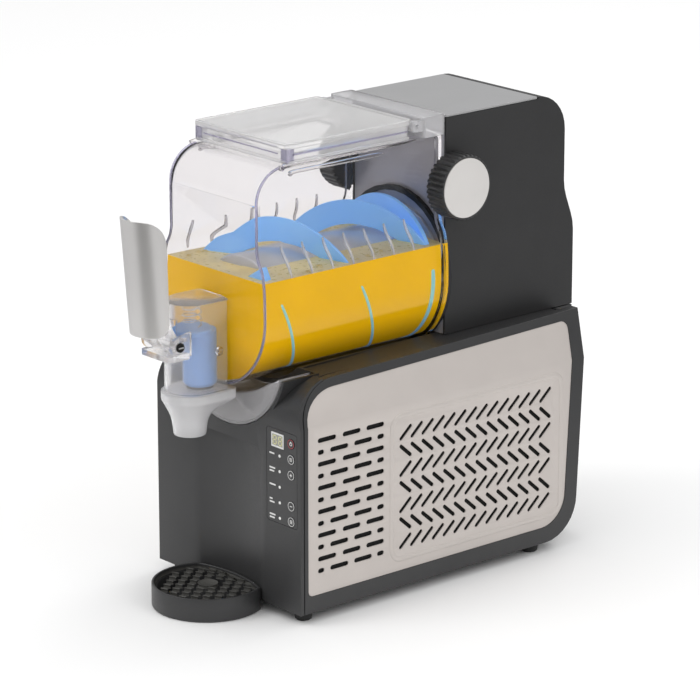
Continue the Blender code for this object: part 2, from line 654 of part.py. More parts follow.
def nozzle():
    back = -8.0
    levels = (
        (210.9, 26.0, 0.0),
        (203.0, 26.0, 0.0),
        (199.7, 25.0, 0.0),
        (191.0, 21.0, 0.6),
        (184.0, 17.0, 1.0),
        (SPOUT_BOTTOM, 15.0, 1.0),
    )

    def ring(z, radius, share, inset):
        plan = tap_outline(radius - inset, back - inset, SPOUT_Y)
        turned = circle(radius - inset, (0, SPOUT_Y), TAP_STEPS)
        return [(x * (1 - share) + u * share, y * (1 - share) + v * share, z) for (x, y), (u, v) in zip(plan, turned)]

    outer = [ring(z, radius, share, 0.0) for z, radius, share in levels]
    inner = [ring(z, radius, share, 2.0) for z, radius, share in reversed(levels[1:])]
    inner.append(ring(208.4, 26.0, 0.0, 2.0))
    made = piece("nozzle", loft(outer + inner), "frosted_plastic")
    cut(made, prism(circle(10.0, (0, -34), 24), "Z", 200, 215))


def handle_ring(z):
    """The U-shaped handle at a height: a round front and straight flanks whose corners are round."""
    bottom, top = 272.0, 380.0
    share = (z - bottom) / (top - bottom)
    half, depth = 23.0, 22.0
    middle = -82.5 - 9.0 * share
    back = -83.0 - 3.0 * share
    top_corner, low_corner = 24.0, 14.0
    if z > top - top_corner:
        back -= top_corner - math.sqrt(top_corner**2 - (z - top + top_corner) ** 2)
    if z < bottom + low_corner:
        back -= low_corner - math.sqrt(low_corner**2 - (bottom + low_corner - z) ** 2)
    flank = 20.0
    if back >= middle:
        reach = 1 + (back - middle) / flank
    else:
        reach = math.acos(min(1.0, (middle - back) / depth)) / (math.pi / 2)

    def path(u, inset):
        side = math.copysign(1, u)
        u = abs(u)
        turn = min(u, 1.0) * math.pi / 2
        along = max(0.0, u - 1.0) * flank
        return (side * (half - inset) * math.sin(turn), middle - (depth - inset) * math.cos(turn) + along, z)

    stations = [reach * (2 * i / 14 - 1) for i in range(15)]
    return [path(u, 0.0) for u in stations] + [path(u, 2.0) for u in reversed(stations)]


def tap_handle():
    pivot = (0, PIVOT_Y, PIVOT_Z)
    heights = (272.0, 273.5, 277.0, 286.0, 320.0, 356.0, 366.0, 374.0, 378.5, 380.0)
    piece("tap_handle", loft([handle_ring(z) for z in heights]), "satin_silver", pivot)
    core = [
        (-73.5, 253.6),
        (-86.0, 263.5),
        (-95.5, 276.0),
        (-101.0, 345.0),
        (-99.0, 350.0),
        (-92.0, 350.0),
        (-88.0, 300.0),
        (-66.5, 265.0),
        (-65.8, 260.0),
        (-68.5, 254.3),
    ]
    made = piece("handle_carrier", prism(core, "X", -14, 14), "frosted_plastic", pivot)
    join(made, box((-4, -70, 258), (4, -50, 262.6)))
    cut(made, prism(circle(PIVOT_RADIUS + 0.3, (PIVOT_Y, PIVOT_Z), 16), "X", -30, 30))
    pin = [(2.0, -24.0), (PIVOT_RADIUS, -23.5), (PIVOT_RADIUS, 22.3), (4.2, 22.3), (4.2, 23.6), (3.4, 24.4)]
    piece("handle_pin", stack(pin, "X", (PIVOT_Y, PIVOT_Z), 12), "steel", pivot)


def piston():
    body = [(12.5, PISTON_BOTTOM), (PISTON_RADIUS, PISTON_BOTTOM + 3), (PISTON_RADIUS, FLANGE_Z + 1)]
    made = piece("valve_piston", stack(body, "Z", (0, PISTON_Y), 20), "blue_plastic")
    join(made, stack([(18.5, FLANGE_Z), (18.5, FLANGE_Z + 3.5), (17.0, FLANGE_Z + 4.5)], "Z", (0, FLANGE_Y), 20))
    seal = [(10.6, 211.2), (12.0, 211.2), (12.0, PISTON_BOTTOM - GAP), (10.6, PISTON_BOTTOM - GAP)]
    piece("piston_seal", turned_ring(seal, "Z", (0, PISTON_Y), 16), "rubber")


def valve_spring():
    """A compression spring between the piston and the top of the tap."""
    low, high, coil, wire, turns, steps = 269.6, 292.6, 9.0, 0.7, 4.0, 9
    rings = []
    for i in range(round(turns * steps) + 1):
        t = 2 * math.pi * i / steps
        z = low + (high - low) * i / (turns * steps)
        out = Vector((math.cos(t), math.sin(t), 0))
        middle = Vector((0, FLANGE_Y, z)) + out * coil
        section = [(wire * math.cos(a), wire * math.sin(a)) for a in (0, 2.1, 4.2)]
        rings.append([middle + out * across_wire + Vector((0, 0, up)) for across_wire, up in section])
    piece("valve_spring", loft(rings), "steel")


# ---------------------------------------------------------------- drip tray and catch


def tray_outline(inset):
    """A round front, and a back that follows the housing's niche."""
    r = TRAY_RADIUS - inset
    side = math.degrees(math.asin((25.6 - inset) / r))
    front = arc((0, TRAY_Y), (r, r), side, -180 - side, 24)
    x = r * math.cos(math.radians(side))
    back_radius = NICHE_RADIUS - 1.2 - inset
    reach = math.degrees(math.asin(x / back_radius))
    back = arc((0, NICHE_CENTRE_Y), (back_radius, back_radius), 90 + reach, 90 - reach, 6)
    return front + back[1:-1]


def drip_tray():
    outside = [(0.0, 1.0), (1.0, 0.0), (TRAY_TOP - 1, 0.0), (TRAY_TOP, 1.0)]
    inside = [(TRAY_TOP, 2.2), (17.0, 2.6), (16.9, 4.8), (2.2, 5.4)]
    rings = [[(x, y, z) for x, y in tray_outline(inset)] for z, inset in outside + inside]
    piece("drip_tray", loft(rings), "black_plastic")
    made = piece("drip_grille", prism(tray_outline(3.1), "Z", 17.4, 20.4), "black_plastic")
    slots = [prism(circle(9.5, (0, TRAY_Y), 24), "Z", 10, 25)]
    for row in range(8):
        y = -64.0 + 9.0 * row
        for column in range(-3, 4):
            x = 13.0 * column + (6.5 if row % 2 else 0.0)
            if math.hypot(abs(x) + 4, y - TRAY_Y) < 45 and math.hypot(x, y - TRAY_Y) > 14.5:
                slots.append(box((x - 3.6, y - 1.3, 10), (x + 3.6, y + 1.3, 25)))
    cut(made, *slots)


def condensate_catch():
    """A half-round clear dish in the housing's mouth below the bowl."""
    r = CATCH_RADIUS
    low = arc((0, CATCH_Z), (r, r), 198, 342, 20)
    rim = arc((0, 312.7), (110.0, 110.0), 303.5, 236.5, 12)
    made = piece("condensate_catch", prism(low + rim, "Y", -1.2, 38), "clear_plastic")
    inside = arc((0, CATCH_Z), (r - 2, r - 2), 195, 345, 20)
    cut(made, prism([*inside, (r + 5, 240), (-r - 5, 240)], "Y", 1.0, 36))


# ---------------------------------------------------------------- controls


def controls():
    overlay = prism(rounded((56.4, 91.9), (98.6, 180.6), 2.6), "Y", 0.0, 0.6)
    made = piece("control_overlay", overlay, "dark_plastic")
    holes = [prism(circle(4.9, (BUTTON_X, z), 12), "Y", -2, 8) for z in BUTTON_HEIGHTS.values()]
    holes += [prism(circle(1.6, (LAMP_X, z), 6), "Y", -2, 8) for z in LAMP_HEIGHTS]
    holes.append(box((62.5, -2, 163), (80.5, 8, 177.5)))
    cut(made, *holes)
    made = piece("display_window", box((62.9, 0.1, 163.4), (80.1, 3.5, 177.1)), "display_glass")
    join(made, box((61, 3.3, 161.5), (82, 7.0, 179.0)))
    made = piece("led_light_pipe", box((LAMP_X - 3, 3.4, 92), (LAMP_X + 3, 6.5, 160.5)), "lamp_white")
    join(made, *[prism(circle(1.2, (LAMP_X, z), 6), "Y", -0.1, 4) for z in LAMP_HEIGHTS])
    piece("control_board", box((56, 14.0, 60), (94, 15.6, 182)), "copper_board")
    for name, z in BUTTON_HEIGHTS.items():
        cap = [(4.0, -0.5), (4.4, 0.0), (4.4, 3.6), (2.0, 3.6), (2.0, 12.4)]
        piece(f"{name}_button", stack(cap, "Y", (BUTTON_X, z), 12), "dark_plastic", (BUTTON_X, 0, z))


# ---------------------------------------------------------------- assembly

base_plate()
front_shell()
side_cover(-1, "left_side_cover")
side_cover(1, "right_side_cover")
vent_plate(-1, "left_vent_plate")
vent_plate(1, "right_vent_plate")
rear_panel()
power_inlet()
for foot_name, foot_x, foot_y in (
    ("foot_front_left", -88, 16),
    ("foot_front_right", 88, 16),
    ("foot_rear_left", -88, 300),
    ("foot_rear_right", 88, 300),
):
    foot(foot_name, foot_x, foot_y)
tower_shell()
tower_front_panel()
tower_top_plate()
lock_knob(-1, "left")
lock_knob(1, "right")
cooling_unit()
fan_rotor()
drive()
auger()
bowl()
rear_cover()
lid()
tap_body()
nozzle()
tap_handle()
piston()
valve_spring()
drip_tray()
condensate_catch()
controls()
pin_profile = [(1.5, -65.8), (1.5, 65.8)]
piece("lid_hinge_pin", stack(pin_profile, "X", (HINGE_Y, HINGE_Z), 12), "steel", (0, HINGE_Y, HINGE_Z))
seal_profile = [(70.6, 203.3), (75.5, 203.3), (75.5, 208.0), (70.6, 208.0)]
piece("bowl_seal", turned_ring(seal_profile, "Y", (0, AXIS_Z), 32), "rubber")
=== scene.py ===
"""The looks of a counter-top slush machine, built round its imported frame.

Shapes are drawn in millimetres, with Y = 0 on the housing's front face and Z = 0 on the table, and
become metres in the frame when a mesh is made.
"""

import math
import random

import bmesh
import bpy
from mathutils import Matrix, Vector


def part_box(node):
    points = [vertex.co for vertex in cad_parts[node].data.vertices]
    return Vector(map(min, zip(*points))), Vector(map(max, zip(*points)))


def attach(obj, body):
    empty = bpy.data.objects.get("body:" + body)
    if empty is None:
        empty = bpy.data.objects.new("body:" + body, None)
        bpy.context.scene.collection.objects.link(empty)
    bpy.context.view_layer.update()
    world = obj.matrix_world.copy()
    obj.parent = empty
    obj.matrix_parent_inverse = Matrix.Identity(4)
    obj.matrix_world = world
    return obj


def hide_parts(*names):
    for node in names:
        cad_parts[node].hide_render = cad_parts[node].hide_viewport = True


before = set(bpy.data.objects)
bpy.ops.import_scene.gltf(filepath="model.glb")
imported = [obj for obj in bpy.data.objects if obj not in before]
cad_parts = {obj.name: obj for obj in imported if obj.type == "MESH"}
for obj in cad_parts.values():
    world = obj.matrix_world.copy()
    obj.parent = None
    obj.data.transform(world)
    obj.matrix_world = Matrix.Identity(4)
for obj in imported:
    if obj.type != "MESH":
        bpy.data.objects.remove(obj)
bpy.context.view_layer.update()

MM = 0.001
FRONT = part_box("front_shell")[0].y / MM  # the housing's front face in the frame


def span(node):
    """A CAD node's lowest and highest corners in millimetres, measured from the housing's front face."""
    low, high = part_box(node)
    return [Vector((p.x / MM, p.y / MM - FRONT, p.z / MM)) for p in (low, high)]


# Housing
HALF_WIDTH = span("front_shell")[1].x
CREASE, LEAN = 186.0, 10.0 / 47.5  # above the crease the sides lean in by this share of the height
CORNER_Y, CORNER_Z = 45.0, 189.0

# Bowl, drum and auger
AXIS_Z = 284.4
BOWL_RADIUS, BOWL_HALF, BOWL_TOP, BOWL_WALL, BOWL_BEND = 73.0, 62.0, 420.0, 2.5, 32.0
BOWL_FRONT, BOWL_BACK = span("bowl")[0].y, span("bowl")[1].y
AUGER_INNER, AUGER_RADIUS, AUGER_PITCH, AUGER_FRONT_Y = 47.0, 69.8, 190.0, -4.0
ARM_TURNS = (59.0, 239.0)  # where the auger's arms stand, in degrees from the top
LIQUID_LEVEL, LIQUID_INSET = 317.5, 4.0
MOUTH_LOW, MOUTH_HIGH = (-52.5, 30.5), (52.5, 152.5)  # the filling mouth's corners in plan

# Lid
LID_LOW, LID_HIGH = span("lid")
LID_HALF, LID_FRONT, LID_BACK, LID_TOP = 66.0, LID_LOW.y, 165.5, LID_HIGH.z
HINGE_Y, HINGE_Z = 172.0, 433.0

# Knobs, tap, tray and keys
KNOB_Y, KNOB_Z, KNOB_RADIUS, KNOB_INNER_X, KNOB_OUTER_X = 213.5, 372.6, 31.0, 66.8, 89.4
PIVOT_Y, PIVOT_Z = -71.8, 260.3
SPOUT_Y, SPOUT_BOTTOM = -43.5, 169.0
TRAY_RADIUS, TRAY_Y = 52.0, -25.0
NICHE_RADIUS, NICHE_CENTRE_Y = 130.0, -120.0
BUTTON_X, LAMP_X = 90.8, 74.5
PRINT_FRONT, PRINT_BACK = -0.62, -0.45  # how far a key's print stands out of the housing's front
BUTTON_HEIGHTS = {"power": 171.4, "mode": 156.6, "plus": 141.8, "minus": 112.3, "wash": 97.5}
LAMP_HEIGHTS = (156.1, 141.3, 126.5, 111.6, 96.8)


# ---------------------------------------------------------------- materials


def shader_material(name, colour, roughness, metallic=0.0, transmission=0.0, ior=1.49):
    """A material with its uniform values set on the shader, and its object coordinates."""
    made = bpy.data.materials.new(name)
    made.use_nodes = True
    shader = made.node_tree.nodes["Principled BSDF"]
    shader.inputs["Base Color"].default_value = (*colour, 1)
    shader.inputs["Roughness"].default_value = roughness
    shader.inputs["Metallic"].default_value = metallic
    shader.inputs["Transmission Weight"].default_value = transmission
    shader.inputs["IOR"].default_value = ior
    place = made.node_tree.nodes.new("ShaderNodeTexCoord")
    return made, shader, place.outputs["Object"]


def noise(made, place, scale, detail=3.0):
    node = made.node_tree.nodes.new("ShaderNodeTexNoise")
    node.inputs["Scale"].default_value = scale
    node.inputs["Detail"].default_value = detail
    made.node_tree.links.new(place, node.inputs["Vector"])
    return node.outputs["Fac"]


def spread(made, source, low, high, start=0.3, end=0.7):
    """Maps a noise onto a range of values."""
    node = made.node_tree.nodes.new("ShaderNodeMapRange")
    node.inputs["From Min"].default_value = start
    node.inputs["From Max"].default_value = end
    node.inputs["To Min"].default_value = low
    node.inputs["To Max"].default_value = high
    made.node_tree.links.new(source, node.inputs["Value"])
    return node.outputs["Result"]


def blend_colours(made, share, first, second):
    node = made.node_tree.nodes.new("ShaderNodeMix")
    node.data_type = "RGBA"
    made.node_tree.links.new(share, node.inputs["Factor"])
    for socket, colour in ((node.inputs[6], first), (node.inputs[7], second)):
        if isinstance(colour, bpy.types.NodeSocket):
            made.node_tree.links.new(colour, socket)
        else:
            socket.default_value = (*colour, 1)
    return node.outputs[2]


def add_bump(made, shader, height, strength, distance):
    node = made.node_tree.nodes.new("ShaderNodeBump")
    node.inputs["Strength"].default_value = strength
    node.inputs["Distance"].default_value = distance
    made.node_tree.links.new(height, node.inputs["Height"])
    made.node_tree.links.new(node.outputs["Normal"], shader.inputs["Normal"])


def finish(name, colour, roughness, metallic=0.0, grain=900.0, bump=0.25, depth=0.00004, vary=0.06):
    """A moulded or painted finish: fine grain, cloudy roughness and a slight drift of colour."""
    made, shader, place = shader_material(name, colour, roughness, metallic)
    clouds = noise(made, place, 28.0)
    fine = noise(made, place, grain, 2.0)
    tint = spread(made, clouds, 0.0, 1.0)
    lighter = tuple(min(1.0, c * (1 + vary)) for c in colour)
    darker = tuple(c * (1 - vary) for c in colour)
    made.node_tree.links.new(blend_colours(made, tint, darker, lighter), shader.inputs["Base Color"])
    rough = spread(made, fine, roughness * 0.85, min(1.0, roughness * 1.18))
    made.node_tree.links.new(rough, shader.inputs["Roughness"])
    add_bump(made, shader, fine, bump, depth)
    return made


def clear_finish(name, colour, roughness, waviness, transmission=1.0, ior=1.24):
    """Moulded clear plastic, with faint waves in its surface."""
    made, shader, place = shader_material(name, colour, roughness, transmission=transmission, ior=ior)
    waves = noise(made, place, 22.0, 1.0)
    made.node_tree.links.new(spread(made, waves, roughness * 0.7, roughness * 1.4), shader.inputs["Roughness"])
    add_bump(made, shader, waves, waviness, 0.0006)
    return made


def height_of(made, place, low, high):
    """How far up a point is between two heights in millimetres, from 0 to 1."""
    split = made.node_tree.nodes.new("ShaderNodeSeparateXYZ")
    made.node_tree.links.new(place, split.inputs["Vector"])
    return spread(made, split.outputs["Z"], 0.0, 1.0, low * MM, high * MM)


def drink_finish():
    """Orange drink: amber, with painted shade that turns it browner toward the bottom of the bowl, and a faint
    painted glow standing in for light within it.
    """
    made, shader, place = shader_material("drink", (0.95, 0.52, 0.0), 0.45)
    shader.inputs["Specular IOR Level"].default_value = 0.05
    # Painted glow: this emission stands in for light scattered within the drink, which is no lamp.
    shader.inputs["Emission Color"].default_value = (0.92, 0.55, 0.0, 1)
    shader.inputs["Emission Strength"].default_value = 0.24
    # Painted shade: the drink turns dark brown toward the bottom of the bowl.
    body = blend_colours(made, height_of(made, place, 212.0, 258.0), (0.22, 0.09, 0.0), (0.92, 0.50, 0.0))
    clouds = spread(made, noise(made, place, 16.0), 0.0, 1.0)
    patchy = blend_colours(made, clouds, (0.90, 0.50, 0.0), (1.0, 0.56, 0.0))
    upper = blend_colours(made, height_of(made, place, 235.0, 275.0), body, patchy)
    made.node_tree.links.new(upper, shader.inputs["Base Color"])
    made.node_tree.links.new(spread(made, clouds, 0.4, 0.55, 0.0, 1.0), shader.inputs["Roughness"])
    add_bump(made, shader, noise(made, place, 260.0), 0.12, 0.0004)
    return made


def auger_finish():
    """Blue plastic with a faint painted glow, pale green below the drink's level."""
    made, shader, place = shader_material("auger_blue", (0.24, 0.50, 0.95), 0.34)
    shader.inputs["Subsurface Weight"].default_value = 0.15
    # Painted glow: this emission lights the blue plastic, which is no lamp.
    shader.inputs["Emission Color"].default_value = (0.16, 0.42, 0.95, 1)
    shader.inputs["Emission Strength"].default_value = 0.28
    shader.inputs["Subsurface Radius"].default_value = (0.002, 0.003, 0.006)
    where = made.node_tree.nodes.new("ShaderNodeNewGeometry")
    level = height_of(made, where.outputs["Position"], LIQUID_LEVEL - 1.5, LIQUID_LEVEL + 0.5)
    drift = spread(made, noise(made, place, 14.0), 0.0, 1.0)
    blue = blend_colours(made, drift, (0.25, 0.52, 0.96), (0.30, 0.58, 1.0))
    coloured = blend_colours(made, level, (0.36, 0.78, 0.52), blue)
    made.node_tree.links.new(coloured, shader.inputs["Base Color"])
    made.node_tree.links.new(spread(made, noise(made, place, 500.0), 0.28, 0.42), shader.inputs["Roughness"])
    add_bump(made, shader, noise(made, place, 700.0), 0.12, 0.00003)
    return made


black = finish("housing_black", (0.035, 0.035, 0.036), 0.42, grain=1100, bump=0.35)
tower_black = finish("tower_black", (0.024, 0.024, 0.0245), 0.46, grain=1100, bump=0.35)
panel_grey = finish("tower_front_grey", (0.44, 0.43, 0.46), 0.4, metallic=0.3, grain=900, bump=0.1, vary=0.04)
# A near-black sheet material: painted shade behind the perforated plates.
shade_sheet_black = finish("shade_sheet_black", (0.004, 0.004, 0.004), 0.9, grain=260, bump=0.8, depth=0.0004)
dark_inside = finish("inside_black", (0.006, 0.006, 0.006), 0.8)
silver = finish("plate_silver", (0.57, 0.525, 0.495), 0.42, metallic=0.25, grain=1600, bump=0.12, vary=0.02)
top_grey = finish("top_grey", (0.36, 0.36, 0.365), 0.42, metallic=0.25, grain=1600, bump=0.12, vary=0.02)
cap_silver = finish("cap_silver", (0.68, 0.66, 0.64), 0.42, metallic=0.2, grain=1500, bump=0.1, vary=0.02)
handle_silver = finish("handle_silver", (0.80, 0.785, 0.765), 0.33, metallic=0.8, grain=1400, bump=0.02, vary=0.02)
steel = finish("steel", (0.58, 0.58, 0.60), 0.28, metallic=1.0, grain=500, bump=0.08, vary=0.05)
drum_metal = finish("drum_metal", (0.62, 0.63, 0.66), 0.36, metallic=0.6, grain=300, bump=0.1, vary=0.08)
grille_black = finish("grille_black", (0.080, 0.078, 0.072), 0.5, grain=1100, bump=0.3)
rubber = finish("rubber", (0.02, 0.02, 0.02), 0.75, grain=700, bump=0.4)
painted = finish("painted_steel", (0.02, 0.02, 0.022), 0.4, grain=800, bump=0.3)
fins = finish("aluminium_fin", (0.62, 0.63, 0.64), 0.4, metallic=1.0)
board_green = finish("board_green", (0.03, 0.16, 0.07), 0.5)
blue = finish("piston_blue", (0.19, 0.43, 0.92), 0.36, grain=600, bump=0.15, vary=0.05)
auger_blue = auger_finish()
drink = drink_finish()
drink_top = finish("drink_top", (0.92, 0.72, 0.30), 0.3, grain=180, bump=0.3, depth=0.0004, vary=0.12)
bubble_film = clear_finish("bubble_film", (1.0, 0.93, 0.75), 0.08, 0.1)
clear = clear_finish("clear_plastic", (0.90, 0.885, 0.89), 0.03, 0.03)
# The plastic's faint lavender tint, darkened as painted shade for the dark lines that refraction draws along clear
# edges.
clear_painted_edge_shade = clear_finish("clear_painted_edge_shade", (0.62, 0.60, 0.74), 0.06, 0.05, 0.8)
rib_clear = clear_finish("rib_clear", (0.86, 0.85, 0.88), 0.05, 0.05, 0.7, 1.4)
frosted = clear_finish("frosted_plastic", (0.97, 0.96, 0.965), 0.16, 0.15, 0.88)
milky = clear_finish("milky_plastic", (0.93, 0.925, 0.935), 0.14, 0.15, 0.62, 1.4)
lid_clear = clear_finish("lid_clear", (0.97, 0.965, 0.965), 0.04, 0.04, 0.68, 1.4)
strip_clear = clear_finish("strip_clear", (0.93, 0.925, 0.94), 0.05, 0.04, 0.72, 1.4)
catch_clear = clear_finish("catch_clear", (0.90, 0.89, 0.91), 0.06, 0.05, 0.80, 1.4)
overlay_black = finish("overlay_black", (0.032, 0.032, 0.033), 0.32, grain=1800, bump=0.1)
display_glass = finish("display_glass", (0.34, 0.34, 0.31), 0.18, grain=400, bump=0.05)
segment_light = finish("segment_light", (0.62, 0.60, 0.32), 0.4, grain=600, bump=0.05)
print_white = finish("print_white", (0.72, 0.72, 0.71), 0.5, grain=900, bump=0.1)
print_red = finish("print_red", (0.42, 0.05, 0.06), 0.5, grain=900, bump=0.1)
lamp_white = finish("lamp_white", (0.86, 0.86, 0.84), 0.35, grain=900, bump=0.1)


# ---------------------------------------------------------------- shapes


def loft(rings, closed=False):
    """A solid through rings of the same number of points: capped at both ends, or closed on itself."""
    shape = bmesh.new()
    rows = [[shape.verts.new(point) for point in ring] for ring in rings]
    following_rows = rows[1:] + rows[:1] if closed else rows[1:]
    for row, following in zip(rows, following_rows):
        for i in range(len(row)):
            j = (i + 1) % len(row)
            shape.faces.new((row[i], row[j], following[j], following[i]))
    if not closed:
        shape.faces.new(rows[0][::-1])
        shape.faces.new(rows[-1])
    bmesh.ops.recalc_face_normals(shape, faces=shape.faces)
    return shape


def across(axis, a, b, along):
    return {"X": (along, a, b), "Y": (a, along, b), "Z": (a, b, along)}[axis]


def prism(outline, axis, low, high):
    return loft([[across(axis, a, b, along) for a, b in outline] for along in (low, high)])


def arc(centre, radii, start, end, steps):
    turns = [math.radians(start + (end - start) * i / steps) for i in range(steps + 1)]
    return [(centre[0] + radii[0] * math.cos(t), centre[1] + radii[1] * math.sin(t)) for t in turns]


def circle(radius, centre=(0.0, 0.0), steps=32):
    return arc(centre, (radius, radius), 0, 360, steps)[:-1]


def stack(profile, axis, centre, steps=48):
    """A turned solid from (radius, along) pairs."""
    return loft([[across(axis, a, b, along) for a, b in circle(r, centre, steps)] for r, along in profile])


def turned_ring(profile, axis, centre, steps=64):
    """A turned ring from a closed profile of (radius, along) pairs."""
    middle = Vector(centre)
    turns = [Vector(point) for point in circle(1.0, steps=steps)]
    return loft([[across(axis, *(middle + t * r), along) for r, along in profile] for t in turns], closed=True)


def rounded(low, high, radius, steps=4):
    """A rectangle with round corners."""
    left, right, front, back = low[0] + radius, high[0] - radius, low[1] + radius, high[1] - radius
    points = []
    for i, centre in enumerate(((right, back), (left, back), (left, front), (right, front))):
        points += arc(centre, (radius, radius), 90 * i, 90 * i + 90, steps)
    return points


def block(low, high, radius=0.8, axis="Z"):
    """A box whose corners are round about one axis."""
    keep = [i for i in range(3) if i != "XYZ".index(axis)]
    along = "XYZ".index(axis)
    outline = rounded([low[i] for i in keep], [high[i] for i in keep], radius, 3)
    return prism(outline, axis, low[along], high[along])


def smooth(points, steps):
    """A Catmull-Rom curve through points."""
    points = [Vector(p) for p in points]
    curve = []
    for i in range(len(points) - 1):
        before, a, b = points[max(i - 1, 0)], points[i], points[i + 1]
        after = points[min(i + 2, len(points) - 1)]
        for step in range(steps):
            t = step / steps
            bend = (2 * before - 5 * a + 4 * b - after) * t * t + (3 * a - before - 3 * b + after) * t**3
            curve.append((2 * a + (b - before) * t + bend) / 2)
    return curve + [points[-1]]


def tube(path, radii, sides=10, closed=False, up=(0, 0, 1)):
    """A tube along a path. `radii` are its half-sizes across and along `up`, at each point where a list."""
    path = [Vector(p) for p in path]
    rings = []
    for i, point in enumerate(path):
        if closed:
            ahead, behind = path[(i + 1) % len(path)], path[i - 1]
        else:
            ahead, behind = path[min(i + 1, len(path) - 1)], path[max(i - 1, 0)]
        direction = (ahead - behind).normalized()
        side = direction.cross(Vector(up)).normalized()
        rise = side.cross(direction)
        wide, tall = radii[i] if isinstance(radii, list) else radii
        turns = [2 * math.pi * k / sides for k in range(sides)]
        rings.append([point + side * wide * math.cos(t) + rise * tall * math.sin(t) for t in turns])
    return loft(rings, closed=closed)


def together(shapes):
    """One mesh that holds several separate shapes."""
    joined = bmesh.new()
    for shape in shapes:
        spare = bpy.data.meshes.new("spare")
        shape.to_mesh(spare)
        shape.free()
        joined.from_mesh(spare)
        bpy.data.meshes.remove(spare)
    return joined


def place_mesh(name, mesh, material, sharp=35):
    made = bpy.data.objects.new(name, mesh)
    bpy.context.scene.collection.objects.link(made)
    mesh.materials.clear()
    mesh.materials.append(material)
    mesh.shade_smooth()
    mesh.set_sharp_from_angle(angle=math.radians(sharp))
    return made


def piece(name, shapes, material, body, replaces=(), sharp=35, soften=0.0):
    """A named piece from one shape or a list of them, riding on a body."""
    shape = together(shapes) if isinstance(shapes, list) else shapes
    for vertex in shape.verts:
        vertex.co = (vertex.co.x * MM, (vertex.co.y + FRONT) * MM, vertex.co.z * MM)
    mesh = bpy.data.meshes.new(name)
    shape.to_mesh(mesh)
    shape.free()
    made = place_mesh(name, mesh, material, sharp)
    if soften:
        round_edges(made, soften)
    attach(made, body)
    if replaces:
        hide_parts(*replaces)
    return made


def round_edges(made, width, angle=32, segments=2):
    change = made.modifiers.new("round edges", "BEVEL")
    change.width = width * MM
    change.segments = segments
    change.limit_method = "ANGLE"
    change.angle_limit = math.radians(angle)
    change.harden_normals = True


def refine(names, material, width=0.4, angle=32):
    """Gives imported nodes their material, joins their split corners and rounds their edges."""
    for name in names:
        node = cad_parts[name]
        for place in node.material_slots:
            place.material = material
        if "custom_normal" in node.data.attributes:
            node.data.attributes.remove(node.data.attributes["custom_normal"])
        node.data.shade_smooth()
        weld = node.modifiers.new("weld", "WELD")
        weld.merge_threshold = 1e-5
        flat = node.modifiers.new("merge flat faces", "DECIMATE")
        flat.decimate_type = "DISSOLVE"
        flat.angle_limit = math.radians(1.0)
        round_edges(node, width, angle)


# ---------------------------------------------------------------- housing


def cover_lean(shape, low_x=84.5):
    """Cuts a shape at the crease and leans what is above it inwards."""
    everything = shape.verts[:] + shape.edges[:] + shape.faces[:]
    bmesh.ops.bisect_plane(shape, geom=everything, plane_co=(0, 0, CREASE), plane_no=(0, 0, 1), dist=1e-4)
    for vertex in shape.verts:
        if abs(vertex.co.x) > low_x and vertex.co.z > CREASE:
            vertex.co.x -= math.copysign((vertex.co.z - CREASE) * LEAN, vertex.co.x)
    return shape


def vent_outline():
    """The outline of a side's perforated plate."""
    front, back, low, foot, corner, top = 9.8, 338.0, 26.3, 30.0, 8.0, 224.0
    return [
        *arc((front + 5, low + 5), (5.0, 5.0), 270, 180, 5),
        *arc((CORNER_Y, CORNER_Z), (35.2, 29.0), 180, 90, 16),
        *arc((back - corner, top - corner), (corner, corner), 90, 0, 6),
        (back, CREASE),
        (back - 7, low + foot),
        *arc((back - 7 - foot, low + foot), (foot, foot), 0, -90, 12)[1:],
    ]


def round_slot(start, end, width):
    """A slot with round ends between two points."""
    start, end = Vector(start), Vector(end)
    along = math.degrees(math.atan2(end.y - start.y, end.x - start.x))
    r = width / 2
    return arc(start, (r, r), along + 90, along + 270, 6) + arc(end, (r, r), along - 90, along + 90, 6)


def vent_slots():
    """Level slots and dots in twelve rows at the front, and chevrons in seven rows at the back."""
    slots = []
    first_y, first_z, pitch, half = 20.8, 172.7, 11.3, 2.5
    long_row = ((0.0, 22.3), (29.6, 51.6), (58.1, 80.0))
    dotted_row = ((0.0, 8.0), (14.6, 36.8), (43.4, 65.4), (71.2, 80.0))
    for row in range(12):
        z = first_z - pitch * row
        for start, end in dotted_row if row % 2 else long_row:
            slots.append(round_slot((first_y + start + half, z), (first_y + end - half, z), 2 * half))
    run, lift, width = 11.6, 10.2, 4.2
    for row in range(7):
        climb = -lift if row % 2 else lift
        for column in range(14):
            y, z = 127.0 + 13.6 * column, 158.9 - 17.6 * row
            slots.append(round_slot((y - run / 2, z - climb / 2), (y + run / 2, z + climb / 2), width))
    return slots


def plate_with_holes(outline, holes, thickness, edge):
    """A flat plate as a shape in its own plane, with its edges slightly rounded."""
    curve = bpy.data.curves.new("plate", "CURVE")
    curve.dimensions = "2D"
    curve.fill_mode = "BOTH"
    curve.extrude = thickness / 2 - edge
    curve.bevel_depth = edge
    curve.bevel_resolution = 1
    for points in [outline, *holes]:
        spline = curve.splines.new("POLY")
        spline.points.add(len(points) - 1)
        spline.use_cyclic_u = True
        for point, (u, v) in zip(spline.points, points):
            point.co = (u, v, 0, 1)
    holder = bpy.data.objects.new("plate", curve)
    bpy.context.scene.collection.objects.link(holder)
    bpy.context.view_layer.update()
    mesh = bpy.data.meshes.new_from_object(holder.evaluated_get(bpy.context.evaluated_depsgraph_get()))
    bpy.data.objects.remove(holder)
    bpy.data.curves.remove(curve)
    shape = bmesh.new()
    shape.from_mesh(mesh)
    bpy.data.meshes.remove(mesh)
    bmesh.ops.remove_doubles(shape, verts=shape.verts, dist=0.001)
    return shape


